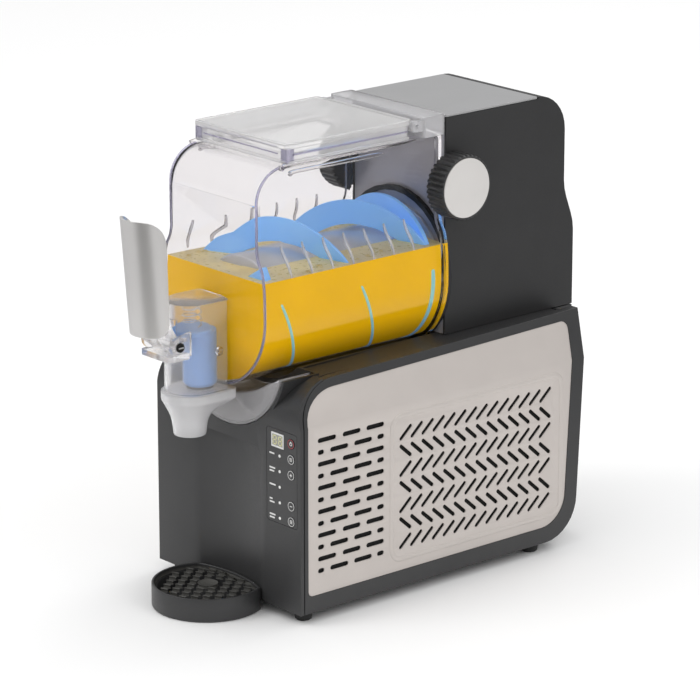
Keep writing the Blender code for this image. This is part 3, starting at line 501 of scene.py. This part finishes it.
def vent_plate(side, name):
    shape = plate_with_holes(vent_outline(), vent_slots(), 1.2, 0.25)
    for vertex in shape.verts:
        u, v, w = vertex.co
        vertex.co = (side * (102.5 + w), u, v)
    if side < 0:
        bmesh.ops.reverse_faces(shape, faces=shape.faces)
    cover_lean(shape)
    bmesh.ops.recalc_face_normals(shape, faces=shape.faces)
    piece(f"{name}_perforated_plate", shape, silver, "housing", [f"{name}_vent_plate"])
    path = [(side * 103.0, y, z) for y, z in rounded((110, 37), (325, 176), 12, 8)]
    ridge = tube(path, (2.6, 0.9), 12, closed=True, up=(1, 0, 0))
    piece(f"{name}_plate_ridge", ridge, silver, "housing")


def painted_shade_sheet(side, name):
    """A black sheet behind a perforated plate: painted shade for the dark inside seen through its slots."""
    middle = Vector((170.0, 125.0))
    outline = [middle + (Vector(p) - middle) * 0.965 for p in vent_outline()]
    sheet = prism(outline, "X", *sorted((side * 99.6, side * 100.9)))
    piece(f"{name}_painted_shade_sheet", cover_lean(sheet), shade_sheet_black, "housing")


def housing():
    refine(["front_shell"], black, 0.5)
    refine(["left_side_cover", "right_side_cover"], black, 0.6)
    refine(["rear_panel"], black, 0.5)
    refine(["tower_front_panel"], panel_grey, 0.5)
    refine(["tower_shell"], tower_black, 0.9)
    refine(["tower_top_plate"], top_grey, 0.5)
    refine(["power_inlet", "fan_shroud", "fan_rotor"], dark_inside, 0.3)
    refine(["base_plate", "compressor", "motor_bracket"], painted, 0.3)
    refine(["foot_front_left", "foot_front_right", "foot_rear_left", "foot_rear_right"], rubber, 0.5)
    refine(["condenser"], fins, 0.2)
    refine(["evaporator_drum"], drum_metal, 0.3)
    refine(["fan_motor", "gear_motor", "drive_shaft", "valve_spring", "lid_hinge_pin"], steel, 0.15)
    refine(["left_lock_shaft", "right_lock_shaft"], steel, 0.2)
    refine(["control_board"], board_green, 0.2)
    refine(["bowl_seal", "shaft_seal", "piston_seal"], rubber, 0.2)
    for side, name in ((-1, "left"), (1, "right")):
        vent_plate(side, name)
        painted_shade_sheet(side, name)


# ---------------------------------------------------------------- knobs


def lock_knob(side, name):
    """A fluted knob whose rim stands round a bright cap."""
    flutes, per_flute = 36, 6
    outline = []
    for i in range(flutes * per_flute):
        t = 2 * math.pi * i / (flutes * per_flute)
        groove = max(0.0, math.cos(flutes * t)) ** 0.6
        outline.append((KNOB_RADIUS - 1.9 * groove, t))

    def ring(x, inset, fluted=1.0):
        rim = [(KNOB_RADIUS - inset - (KNOB_RADIUS - r) * fluted, t) for r, t in outline]
        return [(side * x, KNOB_Y + r * math.cos(t), KNOB_Z + r * math.sin(t)) for r, t in rim]

    outer = KNOB_OUTER_X
    rings = [ring(KNOB_INNER_X, 1.0), ring(KNOB_INNER_X + 1, 0.0), ring(outer - 3.2, 0.0)]
    rings += [ring(outer - 1.6, 0.5, 0.6), ring(outer - 0.5, 1.4, 0.1), ring(outer - 0.4, 2.0, 0.0)]
    rings += [ring(outer - 0.7, 2.6, 0.0), ring(outer - 2.3, 2.6, 0.0)]
    piece(f"{name}_fluted_knob", loft(rings), black, f"{name}_knob", [f"{name}_lock_knob"], 30)
    profile = [(28.0, outer - 2.0), (28.0, outer - 0.5), (27.7, outer - 0.15), (27.2, outer), (14.0, outer)]
    if side < 0:
        profile = [(r, -x) for r, x in profile]
    cap = stack(profile, "X", (KNOB_Y, KNOB_Z), 72)
    piece(f"{name}_cap_disc", cap, cap_silver, f"{name}_knob", [f"{name}_knob_cap"])


# ---------------------------------------------------------------- auger and drum


def spiral_point(radius, degrees, y):
    """A point on the auger: degrees count from the top towards the machine's right."""
    t = math.radians(degrees)
    return (radius * math.sin(t), y, AXIS_Z + radius * math.cos(t))


def auger():
    """Two ribbon spirals, half a turn apart, between a ring at their back and two arms on a hub at their front."""
    turn, count = 366.0, 120
    section = rounded((AUGER_INNER, -1.5), (AUGER_RADIUS, 1.5), 0.7, 2)
    ring = rounded((AUGER_INNER, 187.5), (AUGER_RADIUS, 192.0), 0.8, 2)
    shapes = [turned_ring(ring, "Y", (0, AXIS_Z), 96)]
    shapes.append(stack([(3.0, -9.5), (8.0, -9.0), (11.0, -7.6), (12.0, -5.5), (12.0, 8.5)], "Y", (0, AXIS_Z)))
    for start, tip, half, high in ((ARM_TURNS[0], 69.0, 8, 3.6), (ARM_TURNS[1], 66.0, 6, 0.0)):
        rings = []
        for i in range(count + 1):
            degrees = start + turn * i / count
            y = AUGER_FRONT_Y + AUGER_PITCH * turn * i / count / 360
            rings.append([spiral_point(r, degrees, y + off) for r, off in section])
        shapes.append(loft(rings))
        plan = ((7, -60), (7, 60), (tip * 0.6, half * 1.6), (tip, half), (tip, -half), (tip * 0.6, -half * 1.6))
        low, inset = -5.4, 0.8
        levels = ((low, inset), (low + 1.0, 0.0), (high - 1.0, 0.0), (high, inset))
        shapes.append(loft([[spiral_point(r - d, start + a, y) for r, a in plan] for y, d in levels]))
    piece("spiral_auger", shapes, auger_blue, "auger_drive", ["auger"], 40)


# ---------------------------------------------------------------- bowl


def bowl_side(inset, flare, top):
    """The right half of the bowl's outline from its bottom to its top."""
    r, half = BOWL_RADIUS - inset + flare, BOWL_HALF - inset + flare
    low = [(r * math.cos(math.radians(a)), AXIS_Z + r * math.sin(math.radians(a))) for a in range(-87, 1, 3)]
    shoulder = [(r, AXIS_Z), (r - 0.3, 303.0), (r - 1.4, 317.0), (half + 7.4, 328.0), (half + 2.2, 337.5)]
    shoulder = smooth([*shoulder, (half, 346.0), (half, 352.0)], 4)
    corner = 4.0
    end = arc((half - corner, top - corner), (corner, corner), 0, 90, 4)
    return low + [tuple(p) for p in shoulder[1:]] + end


def bowl_ring(y, inset, flare=0.0):
    """The bowl's outline at y, lowered where its top bends down into its front."""
    bend = BOWL_BEND - inset
    before = BOWL_FRONT + BOWL_BEND - y
    drop = bend - math.sqrt(max(0.0, bend**2 - max(0.0, before) ** 2))
    right = bowl_side(inset, flare, BOWL_TOP - inset + min(flare, 1.0) - drop)
    left = [(-x, z) for x, z in reversed(right)]
    return [(x, y, z) for x, z in [(0.0, AXIS_Z - BOWL_RADIUS + inset - flare), *right, *left]]


def outside_at(z):
    """How far out the bowl's side is at a height, on its upright part and shoulder."""
    side = bowl_side(0.0, 0.0, BOWL_TOP)
    for (x0, z0), (x1, z1) in zip(side, side[1:]):
        if z0 <= z <= z1 and z1 > z0:
            return x0 + (x1 - x0) * (z - z0) / (z1 - z0)
    return BOWL_HALF


def bowl():
    wall = BOWL_WALL
    bends = [BOWL_BEND * (1 - math.cos(math.radians(a))) for a in range(0, 91, 6)]
    outer = [bowl_ring(BOWL_FRONT, 1.2), bowl_ring(BOWL_FRONT + 0.35, 0.4)]
    outer += [bowl_ring(BOWL_FRONT + y, 0.0) for y in bends if y > 1.0]
    outer += [bowl_ring(197.0, 0.0), bowl_ring(197.4, 0.0, 3.2), bowl_ring(BOWL_BACK, 0.0, 3.2)]
    inner = [bowl_ring(BOWL_BACK, wall)]
    inner += [bowl_ring(BOWL_FRONT + max(y, wall), wall) for y in reversed(bends) if y > 2.4]
    inner.append(bowl_ring(BOWL_FRONT + wall, wall))
    made = piece("clear_bowl", loft(outer + inner), clear, "bowl_unit", ["bowl"], 40)
    hole = prism([(x, y + FRONT) for x, y in rounded(MOUTH_LOW, MOUTH_HIGH, 4)], "Z", 410, 435)
    bmesh.ops.scale(hole, verts=hole.verts, vec=(MM, MM, MM))
    cutter_mesh = bpy.data.meshes.new("mouth")
    hole.to_mesh(cutter_mesh)
    hole.free()
    cutter = bpy.data.objects.new("mouth", cutter_mesh)
    bpy.context.scene.collection.objects.link(cutter)
    change = made.modifiers.new("mouth", "BOOLEAN")
    change.object = cutter
    change.operation = "DIFFERENCE"
    change.solver = "EXACT"
    bpy.context.view_layer.update()
    cut_mesh = bpy.data.meshes.new_from_object(made.evaluated_get(bpy.context.evaluated_depsgraph_get()))
    made.modifiers.clear()
    made.data = cut_mesh
    made.data.materials.clear()
    made.data.materials.append(clear)
    made.data.shade_smooth()
    made.data.set_sharp_from_angle(angle=math.radians(40))
    bpy.data.objects.remove(cutter)


def bowl_details():
    collar_outer, collar_inner = rounded((-55, 28), (55, 155), 6), rounded((-52.6, 30.4), (52.6, 152.6), 4)
    levels = ((collar_outer, 419.6), (collar_outer, 427.4), (collar_inner, 428.0), (collar_inner, 417.6))
    collar = loft([[(x, y, z) for x, y in outline] for outline, z in levels], closed=True)
    piece("filling_collar", collar, clear, "bowl_unit")
    ribs = []
    for side in (-1, 1):
        for i in range(7):
            y = 13.0 + 24.4 * i
            heights = [347.0 - 28.0 * k / 12 for k in range(13)]
            path = [(side * (outside_at(z) + 0.1), y + 5.0 * k / 12, z) for k, z in enumerate(heights)]
            radii = [(1.7 * math.sin(math.pi * (k + 0.9) / 13.8) ** 0.5, 1.3) for k in range(13)]
            ribs.append(tube(path, radii, 10, up=(1, 0, 0)))
    piece("shoulder_ribs", ribs, rib_clear, "bowl_unit")
    front = BOWL_FRONT + 1.0
    side = [(x, front, z) for x, z in bowl_side(1.0, 0.0, BOWL_TOP) if z < BOWL_TOP - BOWL_BEND]
    bend = arc((BOWL_FRONT + BOWL_BEND, BOWL_TOP - BOWL_BEND), (BOWL_BEND - 0.8, BOWL_BEND - 0.8), 180, 92, 14)
    side += [(BOWL_HALF - 1.0, y, z) for y, z in bend]
    path = [(-x, y, z) for x, y, z in reversed(side)] + [(0.0, front, AXIS_Z - BOWL_RADIUS + 1.0)] + side
    bead = tube(path, (1.25, 1.25), 10, up=(0.35, 1, 0.2))
    piece("bowl_front_bead", bead, clear_painted_edge_shade, "bowl_unit")
    rails = []
    for side in (-1, 1):
        x = side * (BOWL_HALF + 1.6)
        for start, end, z, half in ((15.0, 173.0, 420.4, 2.4), (24.0, 132.0, 413.6, 2.0)):
            ends = smooth([(x, start, z - 2.5), (x, start + 3, z), (x, (start + end) / 2, z), (x, end, z)], 6)
            radii = [(1.6, half)] * (len(ends) - 2) + [(1.4, half * 0.8), (0.5, half * 0.3)]
            rails.append(tube(ends, radii, 10))
    piece("bowl_side_rails", rails, clear, "bowl_unit")


def liquid():
    """The drink: the bowl's inside up to its level, with the surface in its own finish."""
    side = [(x, z) for x, z in bowl_side(LIQUID_INSET, 0.0, BOWL_TOP) if z < LIQUID_LEVEL - 1]
    edge = (side[-1][0] - 0.1, LIQUID_LEVEL)
    outline = [(0.0, AXIS_Z - BOWL_RADIUS + LIQUID_INSET), *side, edge]
    outline += [(-x, z) for x, z in reversed([*side, edge])]
    front, back = BOWL_FRONT + BOWL_WALL + 0.5, 204.8
    shape = prism(outline, "Y", front, back)
    made = piece("drink", shape, drink, "bowl_unit", sharp=30)
    made.data.materials.append(drink_top)
    for face in made.data.polygons:
        if face.normal.z > 0.95 and face.center.z > (LIQUID_LEVEL - 0.5) * MM:
            face.material_index = 1
    random.seed(7)
    bubbles = []
    for _ in range(46):
        r = random.uniform(0.8, 2.6)
        x = random.choice((-1, 1)) * random.uniform(46, 64)
        y = random.uniform(-8, 180)
        dome = [(r * math.cos(a), LIQUID_LEVEL - 0.2 + r * 0.8 * math.sin(a)) for a in (0, 0.5, 1.0, 1.4)]
        bubbles.append(stack(dome, "Z", (x, y), 12))
    piece("drink_bubbles", bubbles, bubble_film, "bowl_unit", sharp=60)


def catch():
    """The half-round clear dish under the bowl's front, with a front wall and an open back."""
    radius, wall, back = 80.0, 2.2, 38.0
    rim_radius, rim_height = 110.0, 312.7

    def section(r, rim_drop):
        low = arc((0, 250.7), (r, r), 198, 342, 60)
        return low + arc((0, rim_height - rim_drop), (rim_radius, rim_radius), 303.5, 236.5, 24)

    outer = ((-1.2, radius - 1.4), (-0.4, radius), (back, radius))
    inner = ((back, radius - wall), (1.2, radius - wall))
    rings = [[(x, y, z) for x, z in section(r, 0.0)] for y, r in outer]
    rings += [[(x * 0.985, y, z + 0.6) for x, z in section(r, wall)] for y, r in inner]
    piece("catch_dish", loft(rings), catch_clear, "bowl_unit", ["condensate_catch"], 40)


# ---------------------------------------------------------------- lid


def lid():
    def outline(inset, corner):
        return rounded((-LID_HALF + inset, LID_FRONT + inset), (LID_HALF - inset, LID_BACK - inset), corner, 5)

    def ring(z, inset, corner):
        return [(x, y, z) for x, y in outline(inset, corner)]

    outer = [ring(421.5, 0.6, 3.6), ring(424.0, 0.6, 3.6), ring(424.6, 1.8, 3.0), ring(434.6, 1.8, 3.0)]
    outer += [ring(435.4, 0.0, 4.0), ring(LID_TOP - 0.8, 0.0, 4.0), ring(LID_TOP, 0.8, 3.4)]
    inner = [ring(421.5, 4.0, 2.0), ring(LID_TOP - 2.6, 4.0, 2.0)]
    skirt = loft([*reversed(inner), *outer])
    knuckle = [(LID_BACK - 1.5, HINGE_Z + 5.5), (HINGE_Y, HINGE_Z + 5.5)]
    knuckle += arc((HINGE_Y, HINGE_Z), (4.2, 4.2), 60, -120, 12)
    knuckle += [(LID_BACK - 1.5, HINGE_Z - 2.0)]
    shapes = [skirt, prism(knuckle, "X", -58, 58)]
    piece("clear_lid", shapes, lid_clear, "lid_cover", ["lid"], 35, soften=0.3)
    details = []
    for side in (-1, 1):
        x, y = side * (LID_HALF - 5.5), LID_FRONT + 5.5
        post = block((x - 4.6, y - 4.6, 422.0), (x + 4.6, y + 4.6, 434.5), 1.4)
        details.append(post)
        stations = (LID_FRONT + 8, LID_FRONT + 60, LID_FRONT + 110, LID_BACK - 4)
        rail = [(side * (LID_HALF - 0.9), y, 429.5) for y in stations]
        details.append(tube(rail, (0.8, 0.9), 8))
    for z in (436.0, 429.6):
        rail = [(x, LID_FRONT + 0.9, z) for x in (-52, -20, 20, 52)]
        details.append(tube(rail, (0.8, 0.7), 8))
    piece("lid_rails", details, clear_painted_edge_shade, "lid_cover", soften=0.3)


def rear_strip():
    rings = [
        [(x, y, z) for x, y in rounded((-LID_HALF + d, 180.5 + d), (LID_HALF - d, 207.5 - d), 3 - d, 5)]
        for z, d in ((420.3, 0.0), (LID_TOP - 0.8, 0.0), (LID_TOP - 0.2, 0.3), (LID_TOP, 0.9))
    ]
    inner = [
        [(x, y, z) for x, y in rounded((-LID_HALF + 2.5, 183), (LID_HALF - 2.5, 205), 1, 5)]
        for z in (LID_TOP - 2.5, 420.3)
    ]
    shapes = [loft([*inner, *rings])]
    ear = [(-4.5, -3), (-3, 4), (10, 4), (10, -6), (0, -6)]
    ear = [(HINGE_Y + y, HINGE_Z + z) for y, z in ear]
    for side in (-1, 1):
        shapes.append(prism(ear, "X", *sorted((side * 60.5, side * 65.5))))
        boss = [(5.6, side * 60.2), (5.6, side * 65.4), (4.6, side * 66.4), (2.4, side * 66.4), (2.2, side * 65.6)]
        shapes.append(stack(boss, "X", (HINGE_Y - 0.5, HINGE_Z - 0.6), 28))
    piece("fixed_rear_strip", shapes, strip_clear, "bowl_unit", ["hopper_rear_cover"], 35)


# ---------------------------------------------------------------- tap


def tap_plan(half, back, centre_y, steps=56):
    """A plan with a round front and a square back, as points at even angles about its centre."""
    points = []
    for i in range(steps):
        t = 2 * math.pi * i / steps
        c, s = math.cos(t), math.sin(t)
        reach = half if s <= 1e-9 else 1 / max(abs(c) / half, s / (back - centre_y))
        points.append((reach * c, centre_y + reach * s))
    return points


def nozzle():
    """A flange under the tap that narrows in a soft curve to a round spout."""
    back, steps = -8.0, 56
    levels = [(210.9, 25.2, 0.0), (210.2, 26.0, 0.0), (203.4, 26.0, 0.0), (202.0, 25.6, 0.0), (200.4, 24.6, 0.05)]
    levels += [(196.0, 22.4, 0.35), (191.0, 19.7, 0.7), (186.0, 17.6, 0.92), (181.0, 16.4, 1.0), (175.0, 15.6, 1.0)]
    levels += [(170.0, 15.1, 1.0), (SPOUT_BOTTOM, 14.6, 1.0)]

    def ring(z, radius, share, inset):
        plan = tap_plan(radius - inset, back - inset, SPOUT_Y, steps)
        turned = circle(radius - inset, (0, SPOUT_Y), steps)
        return [(x * (1 - share) + u * share, y * (1 - share) + v * share, z) for (x, y), (u, v) in zip(plan, turned)]

    outer = [ring(z, radius, share, 0.0) for z, radius, share in levels]
    inner = [ring(z, radius, share, 2.0) for z, radius, share in reversed(levels[2:])]
    inner.append(ring(208.4, 26.0, 0.0, 2.0))
    piece("spout_nozzle", loft(outer + inner), milky, "bowl_unit", ["nozzle"], 35)


def handle_ring(z):
    """The U-shaped handle at a height: a round front and straight flanks whose corners are round."""
    bottom, top = 272.0, 380.0
    share = (z - bottom) / (top - bottom)
    half, depth, flank = 23.0, 22.0, 20.0
    middle, back = -82.5 - 9.0 * share, -83.0 - 3.0 * share
    top_corner, low_corner = 24.0, 14.0
    if z > top - top_corner:
        back -= top_corner - math.sqrt(top_corner**2 - (z - top + top_corner) ** 2)
    if z < bottom + low_corner:
        back -= low_corner - math.sqrt(low_corner**2 - (bottom + low_corner - z) ** 2)
    if back >= middle:
        reach = 1 + (back - middle) / flank
    else:
        reach = math.acos(min(1.0, (middle - back) / depth)) / (math.pi / 2)

    def path(u, inset):
        side = math.copysign(1, u)
        turn, along = min(abs(u), 1.0) * math.pi / 2, max(0.0, abs(u) - 1.0) * flank
        return (side * (half - inset) * math.sin(turn), middle - (depth - inset) * math.cos(turn) + along, z)

    stations = [reach * (2 * i / 32 - 1) for i in range(33)]
    return [path(u, 0.0) for u in stations] + [path(u, 2.0) for u in reversed(stations)]


def tap():
    low = [272.0 + 14.0 * (1 - math.cos(math.radians(a))) for a in range(12, 91, 13)]
    high = [356.0 + 24.0 * math.sin(math.radians(a)) for a in range(0, 91, 9)]
    heights = [272.0, *low, 300.0, 320.0, 340.0, *high]
    piece("handle_shell", loft([handle_ring(z) for z in heights]), handle_silver, "lever",
          ["tap_handle"], 40, soften=0.35)
    refine(["tap_body"], frosted, 1.1, 30)
    refine(["handle_carrier"], frosted, 0.8, 30)
    refine(["shaft_bush"], frosted, 0.3)
    refine(["valve_piston"], blue, 0.6, 30)
    refine(["handle_pin"], steel, 0.2)
    nozzle()
    head = [(4.4, 22.4), (4.4, 23.7), (3.9, 24.4), (3.0, 24.7)]
    cover = stack(head, "X", (PIVOT_Y, PIVOT_Z), 24)
    slot = block((24.3, PIVOT_Y - 3.0, PIVOT_Z - 0.6), (24.9, PIVOT_Y + 3.0, PIVOT_Z + 0.6), 0.4, "X")
    piece("pin_head", cover, dark_inside, "bowl_unit")
    piece("pin_slot", slot, steel, "bowl_unit")
    screw = [(4.4, 23.6), (4.4, 24.4), (3.2, 25.2), (3.0, 25.2), (2.6, 24.6), (1.4, 24.6), (1.2, 25.6)]
    piece("tap_side_screw", stack(screw, "X", (-28.0, 249.0), 24), steel, "bowl_unit", sharp=50)


# ---------------------------------------------------------------- drip tray


def tray_outline(inset, steps=56):
    """A round front, and a back that follows the housing's niche."""
    r = TRAY_RADIUS - inset
    side = math.degrees(math.asin((25.6 - inset) / r))
    front = arc((0, TRAY_Y), (r, r), side, -180 - side, steps)
    x = r * math.cos(math.radians(side))
    back_radius = NICHE_RADIUS - 1.2 - inset
    reach = math.degrees(math.asin(x / back_radius))
    back = arc((0, NICHE_CENTRE_Y), (back_radius, back_radius), 90 + reach, 90 - reach, 12)
    return front + back[1:-1]


def drip_tray():
    levels = [(0.0, 1.6), (0.5, 0.6), (1.6, 0.0), (21.4, 0.0), (22.1, 0.3), (22.4, 1.0), (22.3, 2.0), (21.8, 2.4)]
    levels += [(17.0, 2.6), (16.9, 4.8), (2.2, 5.4)]
    rings = [[(x, y, z) for x, y in tray_outline(inset)] for z, inset in levels]
    piece("tray_cup", loft(rings), black, "tray", ["drip_tray"], 35)
    holes = [circle(9.5, (0, TRAY_Y), 40)]
    for row in range(9):
        y = -65.5 + 8.6 * row
        for column in range(-3, 4):
            x = 13.4 * column + (6.7 if row % 2 else 0.0)
            if math.hypot(abs(x) + 4, y - TRAY_Y) < 46 and math.hypot(x, y - TRAY_Y) > 14.5:
                holes.append(round_slot((x - 2.5, y - 0.9), (x + 2.5, y + 0.9), 2.8))
    shape = plate_with_holes(tray_outline(3.1), holes, 3.0, 0.5)
    bmesh.ops.translate(shape, verts=shape.verts, vec=(0, 0, 18.9))
    piece("slotted_grille", shape, grille_black, "grille", ["drip_grille"], 40)


# ---------------------------------------------------------------- control panel


def panel_bar(x, z, length, height=1.3):
    return prism(rounded((x, z - height / 2), (x + length, z + height / 2), 0.3, 2), "Y", -0.12, 0.05)


def stroke(x, z, half_width, half_height):
    """One stroke of a digit, centred at a point."""
    low, high = (x - half_width, z - half_height), (x + half_width, z + half_height)
    return prism(rounded(low, high, 0.3, 2), "Y", -0.1, 0.2)


def digit(x, z, width, height, thick):
    """The seven strokes of a digit, with gaps between them."""
    shapes = [stroke(x, z + level * height / 2, width / 2 - 0.5, thick / 2) for level in (-1, 0, 1)]
    for side in (-1, 1):
        for level in (-1, 1):
            shapes.append(stroke(x + side * width / 2, z + level * height / 4, thick / 2, height / 4 - 0.6))
    return shapes


def key_ring(z, inner, outer, steps):
    """A printed ring round a key's middle."""
    section = [(inner, PRINT_FRONT), (outer, PRINT_FRONT), (outer, PRINT_BACK), (inner, PRINT_BACK)]
    return turned_ring(section, "Y", (BUTTON_X, z), steps)


def key_bar(z, half_width, half_height, front=PRINT_FRONT):
    """A printed bar centred on a key."""
    low, high = (BUTTON_X - half_width, z - half_height), (BUTTON_X + half_width, z + half_height)
    return prism(rounded(low, high, 0.2, 2), "Y", front, PRINT_BACK)


def key_icon(name, z):
    """What a key shows inside its ring."""
    if name == "power":
        return [key_ring(z, 1.2, 1.8, 24), key_bar(z + 1.5, 0.3, 0.9, -0.66)]
    if name == "minus":
        return [key_bar(z, 1.7, 0.35)]
    if name == "plus":
        return [key_bar(z, 1.7, 0.35), key_bar(z, 0.35, 1.7, -0.63)]
    return [key_bar(z + shift, 1.8, 0.3) for shift in (-1.2, 0.0, 1.2)]


def controls():
    refine(["control_overlay"], overlay_black, 0.25)
    refine([f"{name}_button" for name in BUTTON_HEIGHTS], overlay_black, 0.15)
    refine(["display_window"], display_glass, 0.2)
    refine(["led_light_pipe"], lamp_white, 0.15)
    low, high = (62.9, 163.4), (80.1, 177.1)
    frame_bars = [
        prism(rounded((low[0], high[1] - 1.6), high, 0.3, 2), "Y", -0.1, 0.2),
        prism(rounded(low, (high[0], low[1] + 1.6), 0.3, 2), "Y", -0.1, 0.2),
        prism(rounded(low, (low[0] + 1.3, high[1]), 0.3, 2), "Y", -0.08, 0.2),
        prism(rounded((high[0] - 1.3, low[1]), high, 0.3, 2), "Y", -0.08, 0.2),
    ]
    piece("display_frame", frame_bars, print_white, "housing")
    strokes = digit(67.6, 170.2, 4.4, 8.0, 1.1) + digit(75.4, 170.2, 4.4, 8.0, 1.1)
    piece("display_digits", strokes, segment_light, "housing")
    lens = [(1.45, 0.1), (1.45, -0.25), (1.1, -0.5), (0.5, -0.62)]
    lamps = [stack(lens, "Y", (LAMP_X, z), 20) for z in LAMP_HEIGHTS]
    piece("lamp_lenses", lamps, lamp_white, "housing", sharp=60)
    bars = []
    for z, lengths in zip(LAMP_HEIGHTS, ((7.0,), (8.0, 6.6), (8.4,), (4.0, 6.8), (8.0, 7.0))):
        for row, length in enumerate(lengths):
            offset = 1.6 - 3.0 * row if len(lengths) > 1 else 0.6
            bars.append(panel_bar(60.2, z + offset, length, 1.5))
    piece("panel_label_bars", bars, print_white, "housing")
    for name, z in BUTTON_HEIGHTS.items():
        key = f"{name}_key"
        ring_print = print_red if name == "power" else print_white
        piece(f"{name}_ring", [key_ring(z, 3.85, 4.3, 40)], ring_print, key)
        piece(f"{name}_icon", key_icon(name, z), print_white, key)


# ---------------------------------------------------------------- studio


def math_node(tree, operation, *values):
    """An arithmetic node whose inputs are sockets or numbers."""
    node = tree.nodes.new("ShaderNodeMath")
    node.operation = operation
    for socket, value in zip(node.inputs, values):
        if isinstance(value, bpy.types.NodeSocket):
            tree.links.new(value, socket)
        else:
            socket.default_value = value
    return node


def only_reflected(tree):
    """1 for a ray that comes off a glossy surface, and 0 for one seen directly or through clear plastic."""
    path = tree.nodes.new("ShaderNodeLightPath")
    node = math_node(tree, "SUBTRACT", path.outputs["Is Glossy Ray"], path.outputs["Is Transmission Ray"])
    node.use_clamp = True
    return node.outputs[0]


def flag_share(tree, place):
    """How far a direction lies within the studio's black flag, which stands to the front right."""
    flat = tree.nodes.new("ShaderNodeVectorMath")
    flat.operation = "MULTIPLY"
    flat.inputs[1].default_value = (1, 1, 0)
    tree.links.new(place, flat.inputs[0])
    unit = tree.nodes.new("ShaderNodeVectorMath")
    unit.operation = "NORMALIZE"
    tree.links.new(flat.outputs[0], unit.inputs[0])
    towards = tree.nodes.new("ShaderNodeVectorMath")
    towards.operation = "DOT_PRODUCT"
    towards.inputs[1].default_value = (0.49, -0.87, 0)
    tree.links.new(unit.outputs[0], towards.inputs[0])
    share = tree.nodes.new("ShaderNodeMapRange")
    share.interpolation_type = "SMOOTHSTEP"
    share.inputs["From Min"].default_value, share.inputs["From Max"].default_value = 0.80, 0.98
    tree.links.new(towards.outputs["Value"], share.inputs["Value"])
    return share.outputs["Result"]


def studio_floor():
    """A pale floor, which reflections see darker away from the machine so that its shapes show."""
    near, far, flagged = (0.93, 0.93, 0.93), (0.42, 0.42, 0.43), (0.05, 0.05, 0.05)
    shape = bmesh.new()
    bmesh.ops.create_circle(shape, cap_ends=True, segments=64, radius=30.0)
    mesh = bpy.data.meshes.new("floor")
    shape.to_mesh(mesh)
    shape.free()
    made, shader, place = shader_material("floor_white", near, 0.9)
    shader.inputs["Specular IOR Level"].default_value = 0.1
    tree = made.node_tree
    tree.links.new(spread(made, noise(made, place, 3.0), 0.85, 0.95), shader.inputs["Roughness"])
    distance = tree.nodes.new("ShaderNodeVectorMath")
    distance.operation = "LENGTH"
    tree.links.new(place, distance.inputs[0])
    beyond = spread(made, distance.outputs["Value"], 0.0, 1.0, 0.45, 0.9)
    away = blend_colours(made, flag_share(tree, place), far, flagged)
    share = math_node(tree, "MULTIPLY", only_reflected(tree), beyond).outputs[0]
    tree.links.new(blend_colours(made, share, near, away), shader.inputs["Base Color"])
    floor = place_mesh("floor", mesh, made)
    floor.location.z = -0.0002


def studio_sky():
    """A white sky, brighter overhead. Reflections see a darker one with the black flag in it."""
    world = bpy.data.worlds.new("studio")
    bpy.context.scene.world = world
    world.use_nodes = True
    tree = world.node_tree
    place = tree.nodes.new("ShaderNodeTexCoord").outputs["Generated"]
    split = tree.nodes.new("ShaderNodeSeparateXYZ")
    tree.links.new(place, split.inputs["Vector"])
    seen = spread(world, split.outputs["Z"], 0.62, 0.98, 0.0, 0.6)
    reflected = spread(world, split.outputs["Z"], 0.22, 0.80, 0.0, 0.6)
    open_share = math_node(tree, "MULTIPLY_ADD", flag_share(tree, place), -0.85, 1.0).outputs[0]
    choose = tree.nodes.new("ShaderNodeMix")
    tree.links.new(only_reflected(tree), choose.inputs["Factor"])
    tree.links.new(seen, choose.inputs[2])
    tree.links.new(math_node(tree, "MULTIPLY", open_share, reflected).outputs[0], choose.inputs[3])
    background = tree.nodes["Background"]
    tree.links.new(choose.outputs[0], background.inputs["Strength"])
    background.inputs["Color"].default_value = (1, 1, 1, 1)


def studio():
    scene = bpy.context.scene
    scene.view_settings.view_transform = "Standard"
    scene.cycles.transparent_max_bounces = 24
    studio_floor()
    studio_sky()
    lights = (
        ("key", (-0.9, -2.2, 2.4), 1.6, 20.0),
        ("side", (2.6, 0.3, 1.9), 1.6, 13.0),
        ("back", (-0.4, 2.2, 2.6), 1.8, 14.0),
    )
    for name, location, size, power in lights:
        data = bpy.data.lights.new(name, "AREA")
        data.shape = "DISK"
        data.size = size
        data.energy = power
        light = bpy.data.objects.new(name, data)
        scene.collection.objects.link(light)
        light.location = location
        light.rotation_euler = (Vector((0, 0, 0.2)) - Vector(location)).to_track_quat("-Z", "Y").to_euler()


def camera():
    """The photograph's view: a long lens from the front right, a little above."""
    data = bpy.data.cameras.new("camera")
    data.sensor_width = 36.0
    data.lens = 195.98
    data.clip_start, data.clip_end = 0.1, 100.0
    yaw, pitch = math.radians(139.0912), math.radians(-16.6159)
    view = Vector((math.cos(pitch) * math.cos(yaw), math.cos(pitch) * math.sin(yaw), math.sin(pitch)))
    made = bpy.data.objects.new("camera", data)
    bpy.context.scene.collection.objects.link(made)
    made.location = (2.58415, -2.22038, 1.23052)
    made.rotation_euler = view.to_track_quat("-Z", "Y").to_euler()
    bpy.context.scene.camera = made


# ---------------------------------------------------------------- assembly

camera()
studio()
housing()
lock_knob(-1, "left")
lock_knob(1, "right")
auger()
bowl()
bowl_details()
liquid()
catch()
lid()
rear_strip()
tap()
drip_tray()
controls()
